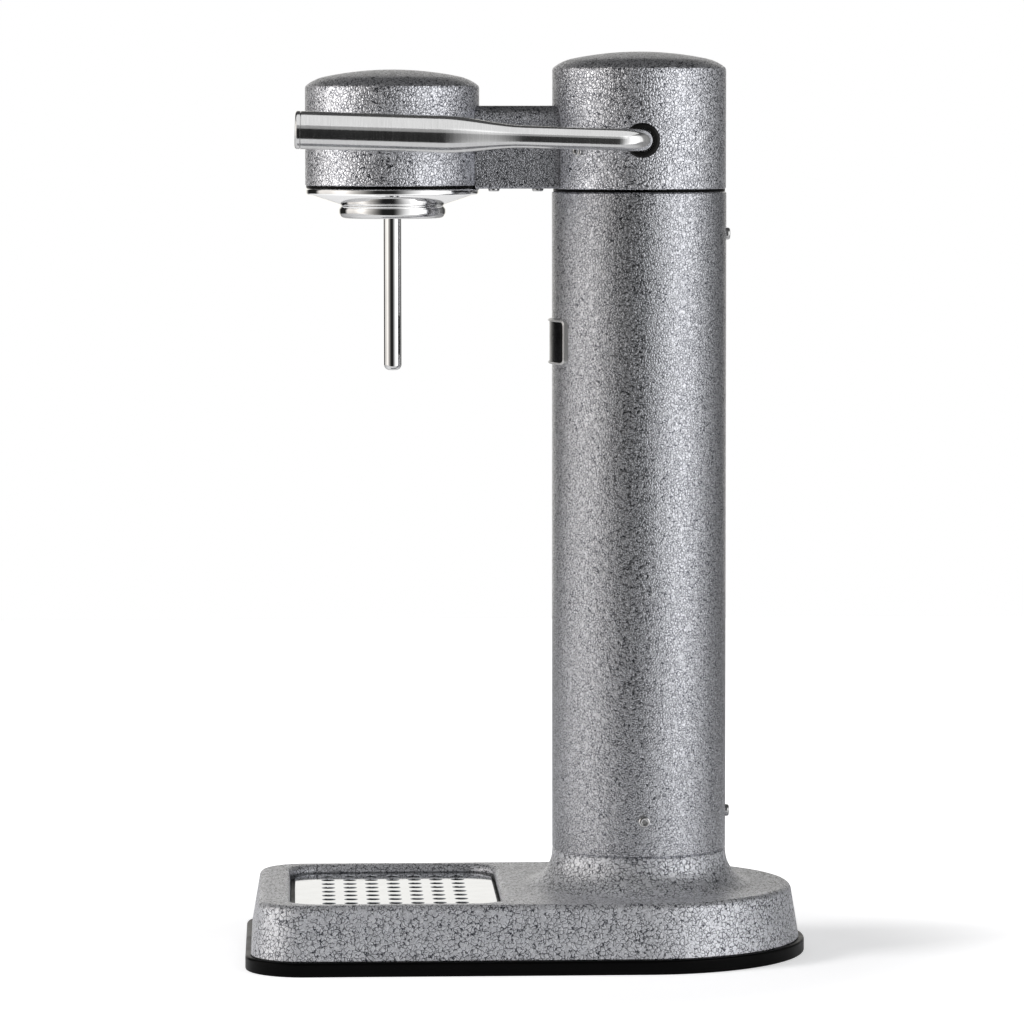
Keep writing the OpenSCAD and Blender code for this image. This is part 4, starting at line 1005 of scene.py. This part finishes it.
def make_screws():
    """The screws that show on the column, under the lever and under the bridge."""
    low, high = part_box("column_screws")
    lower_z, upper_z = low.z + SCREW_HEAD_R, high.z - SCREW_HEAD_R
    places = [column_place(degrees, z, column_r) for degrees, z in (
        (0, lower_z), (90, lower_z), (-90, lower_z), (0, upper_z))]
    make_screw_group("column_screw", "column_screws", places, SCREW_HEAD_R, SCREW_HEAD_H)

    low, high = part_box("head_screws")
    head_low, head_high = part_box("column_head")
    crown_r = (head_high.x - head_low.x) / 2
    z = (low.z + high.z) / 2
    angles = (180 - HEAD_SCREW_ANGLE, 180 + HEAD_SCREW_ANGLE)
    places = [column_place(degrees, z, crown_r) for degrees in angles]
    make_screw_group("head_screw", "head_screws", places, SCREW_HEAD_R, SCREW_HEAD_H)

    low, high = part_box("bridge_screws")
    down = Matrix.Rotation(math.radians(180), 4, "X")
    places = [Matrix.Translation((0, y, low.z + BRIDGE_SCREW_H)) @ down
              for y in (low.y + BRIDGE_SCREW_R, high.y - BRIDGE_SCREW_R)]
    make_screw_group("bridge_screw", "bridge_screws", places, BRIDGE_SCREW_R, BRIDGE_SCREW_H)


def make_spring():
    """The coil spring under the push rod."""
    low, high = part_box("return_spring")
    axis = (low + high) / 2
    length = high.z - low.z
    middle_r = (high.x - low.x) / 2 - SPRING_WIRE_R
    count = SPRING_TURNS * SPRING_TURN_STEPS
    verts = []
    rows = []
    for i in range(count + 1):
        turn = 2 * math.pi * i / SPRING_TURN_STEPS
        z = low.z + SPRING_WIRE_R + (length - 2 * SPRING_WIRE_R) * i / count
        first = len(verts)
        for dr, dz in arc(0, 0, SPRING_WIRE_R, 0, 360, SPRING_SIDES)[:-1]:
            r = middle_r + dr
            verts.append((axis.x + r * math.cos(turn), axis.y + r * math.sin(turn), z + dz))
        rows.append(list(range(first, len(verts))))
    faces = join_rows(rows) + [tuple(rows[0]), tuple(rows[-1][::-1])]
    coil = add_piece("spring_coil", verts, faces, stainless, "machine", ["return_spring"])
    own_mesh(coil)


def make_camera():
    """The camera at the photograph's viewing angle."""
    place = Vector(CAMERA_PLACE) * MM
    target = Vector(CAMERA_TARGET) * MM
    data = bpy.data.cameras.new("camera")
    data.sensor_width = CAMERA_SENSOR
    data.lens = CAMERA_LENS
    data.clip_end = CAMERA_REACH
    camera = bpy.data.objects.new("camera", data)
    bpy.context.scene.collection.objects.link(camera)
    camera.location = place
    aim = (target - place).to_track_quat("-Z", "Y").to_matrix()
    camera.rotation_euler = (aim @ Matrix.Rotation(math.radians(CAMERA_ROLL), 3, "Z")).to_euler()
    bpy.context.scene.camera = camera


def shown_ray(tree, seen, mirrored):
    """One value for camera rays, another for glossy and transmission rays, and 0 for others."""
    path = add_node(tree, "ShaderNodeLightPath")
    shiny = math_node(tree, "MAXIMUM", path.outputs["Is Glossy Ray"], path.outputs["Is Transmission Ray"])
    return math_node(tree, "MAXIMUM", math_node(tree, "MULTIPLY", shiny, mirrored),
                     math_node(tree, "MULTIPLY", path.outputs["Is Camera Ray"], seen))


def make_floor():
    """A pale floor that keeps the object's shadow and is white further away."""
    mesh = bpy.data.meshes.new("floor")
    corners = [(FLOOR_NEAR, -FLOOR_SIDE, 0), (FLOOR_NEAR, FLOOR_SIDE, 0), (FLOOR_FAR, FLOOR_SIDE, 0),
               (FLOOR_FAR, -FLOOR_SIDE, 0)]
    mesh.from_pydata(corners, [], [(0, 1, 2, 3)])
    floor = bpy.data.objects.new("floor", mesh)
    bpy.context.scene.collection.objects.link(floor)
    material = bpy.data.materials.new("floor_white")
    material.use_nodes = True
    tree = material.node_tree
    tree.nodes.remove(tree.nodes["Principled BSDF"])
    diffuse = add_node(tree, "ShaderNodeBsdfDiffuse", {"Color": FLOOR_COLOUR})
    place = add_node(tree, "ShaderNodeTexCoord").outputs["Object"]
    away = add_node(tree, "ShaderNodeVectorMath", {0: place}, operation="LENGTH").outputs["Value"]
    strength = shown_ray(tree, ramp(tree, away, **FLOOR_SEEN), ramp(tree, away, **FLOOR_MIRRORED))
    glow = add_node(tree, "ShaderNodeEmission", {"Color": (1, 1, 1, 1), "Strength": strength})
    total = add_node(tree, "ShaderNodeAddShader", {0: diffuse.outputs[0], 1: glow.outputs[0]})
    tree.links.new(total.outputs[0], tree.nodes["Material Output"].inputs["Surface"])
    mesh.materials.append(material)


def angle_ramp(tree, angle, span, low=0.0, high=1.0):
    """A smooth step of an angle, between the two angles of a span in degrees."""
    return ramp(tree, angle, math.radians(span[0]), math.radians(span[1]), low, high)


def angle_band(tree, angle, rise, fall):
    """1 between two soft edges, each from one angle to another, in degrees."""
    up = angle_ramp(tree, angle, rise)
    return math_node(tree, "MULTIPLY", up, angle_ramp(tree, angle, fall, 1.0, 0.0))


def strip(tree, angle, rise, fall, level, peak, extra):
    """A light between soft edges, with a brighter middle that rises and falls over the peak's angles."""
    middle = math_node(tree, "MULTIPLY", angle_ramp(tree, angle, peak[:2], 0.0, extra),
                       angle_ramp(tree, angle, peak[1:], 1.0, 0.0))
    band = angle_band(tree, angle, rise, fall)
    return math_node(tree, "MULTIPLY", band, math_node(tree, "ADD", middle, level))


def make_studio():
    """A studio: broad lights at both sides, a weak one overhead, and a white wall behind the object."""
    world = bpy.data.worlds.new("studio")
    bpy.context.scene.world = world
    world.use_nodes = True
    tree = world.node_tree
    background = tree.nodes["Background"]
    direction = add_node(tree, "ShaderNodeTexCoord").outputs["Generated"]
    parts = add_node(tree, "ShaderNodeSeparateXYZ", {0: direction}).outputs
    azimuth = math_node(tree, "ARCTAN2", parts[1], parts[0])
    height = math_node(tree, "ARCSINE", parts[2])
    around = math_node(tree, "ABSOLUTE", azimuth)

    low_side = angle_ramp(tree, height, SIDE_TOP, 1.0, 0.0)
    front = math_node(tree, "MULTIPLY", strip(tree, azimuth, **FRONT_LIGHT), low_side)
    front = math_node(tree, "MULTIPLY", front, angle_ramp(tree, height, FRONT_FOOT, FRONT_FOOT_LEVEL, 1.0))
    back = math_node(tree, "MULTIPLY", strip(tree, azimuth, **BACK_LIGHT), low_side)
    tail = math_node(tree, "MULTIPLY", angle_band(tree, azimuth, **BACK_TAIL), low_side)
    wall = math_node(tree, "MULTIPLY", angle_ramp(tree, around, WALL_SIDE),
                     angle_ramp(tree, height, WALL_TOP, 1.0, 0.0))
    overhead = angle_ramp(tree, height, OVERHEAD_FROM, 0.0, OVERHEAD_LEVEL)

    level = math_node(tree, "MAXIMUM", overhead, math_node(tree, "MULTIPLY", tail, TAIL_LEVEL))
    light = combined(tree, math_node(tree, "ADD", level, BASE_LEVEL))
    for tint, part in ((FRONT_TINT, front), (BACK_TINT, back), (WALL_TINT, wall)):
        light = mixed(tree, 1.0, light, mixed(tree, 1.0, tint, combined(tree, part), "MULTIPLY"), "ADD")
    seen = add_node(tree, "ShaderNodeLightPath").outputs["Is Camera Ray"]
    tree.links.new(mixed(tree, seen, light, (1, 1, 1, 1)), background.inputs["Color"])


def make_lamp(name, place, target, size, watts, colour, lit):
    """An area lamp that the camera doesn't see, mirrored only where it is for the pieces that lit names."""
    data = bpy.data.lights.new(name, "AREA")
    data.shape = "RECTANGLE"
    data.size, data.size_y = size
    data.energy = watts
    data.color = colour
    lamp = bpy.data.objects.new(name, data)
    bpy.context.scene.collection.objects.link(lamp)
    lamp.location = place
    lamp.rotation_euler = (Vector(target) - lamp.location).to_track_quat("-Z", "Y").to_euler()
    lamp.visible_camera = False
    lamp.visible_glossy = bool(lit)
    if lit:
        pieces = bpy.data.collections.new(name + "_pieces")
        for piece in lit:
            pieces.objects.link(bpy.data.objects[piece])
        lamp.light_linking.receiver_collection = pieces


def make_lamps():
    """The key lamp that gives the shadow, and the panels that bright metal and the heads mirror."""
    for lamp in LAMPS:
        make_lamp(*lamp)


# The whole scene
scene = bpy.context.scene
scene.view_settings.view_transform = "Standard"
make_camera()
make_floor()
make_studio()
finish_inner_nodes()
make_base_rim()
make_base_body()
make_grille()
make_column()
make_gaskets()
make_heads()
make_bridge()
make_nozzle_group()
make_lever()
make_bush()
make_badge()
make_screws()
make_spring()
make_lamps()
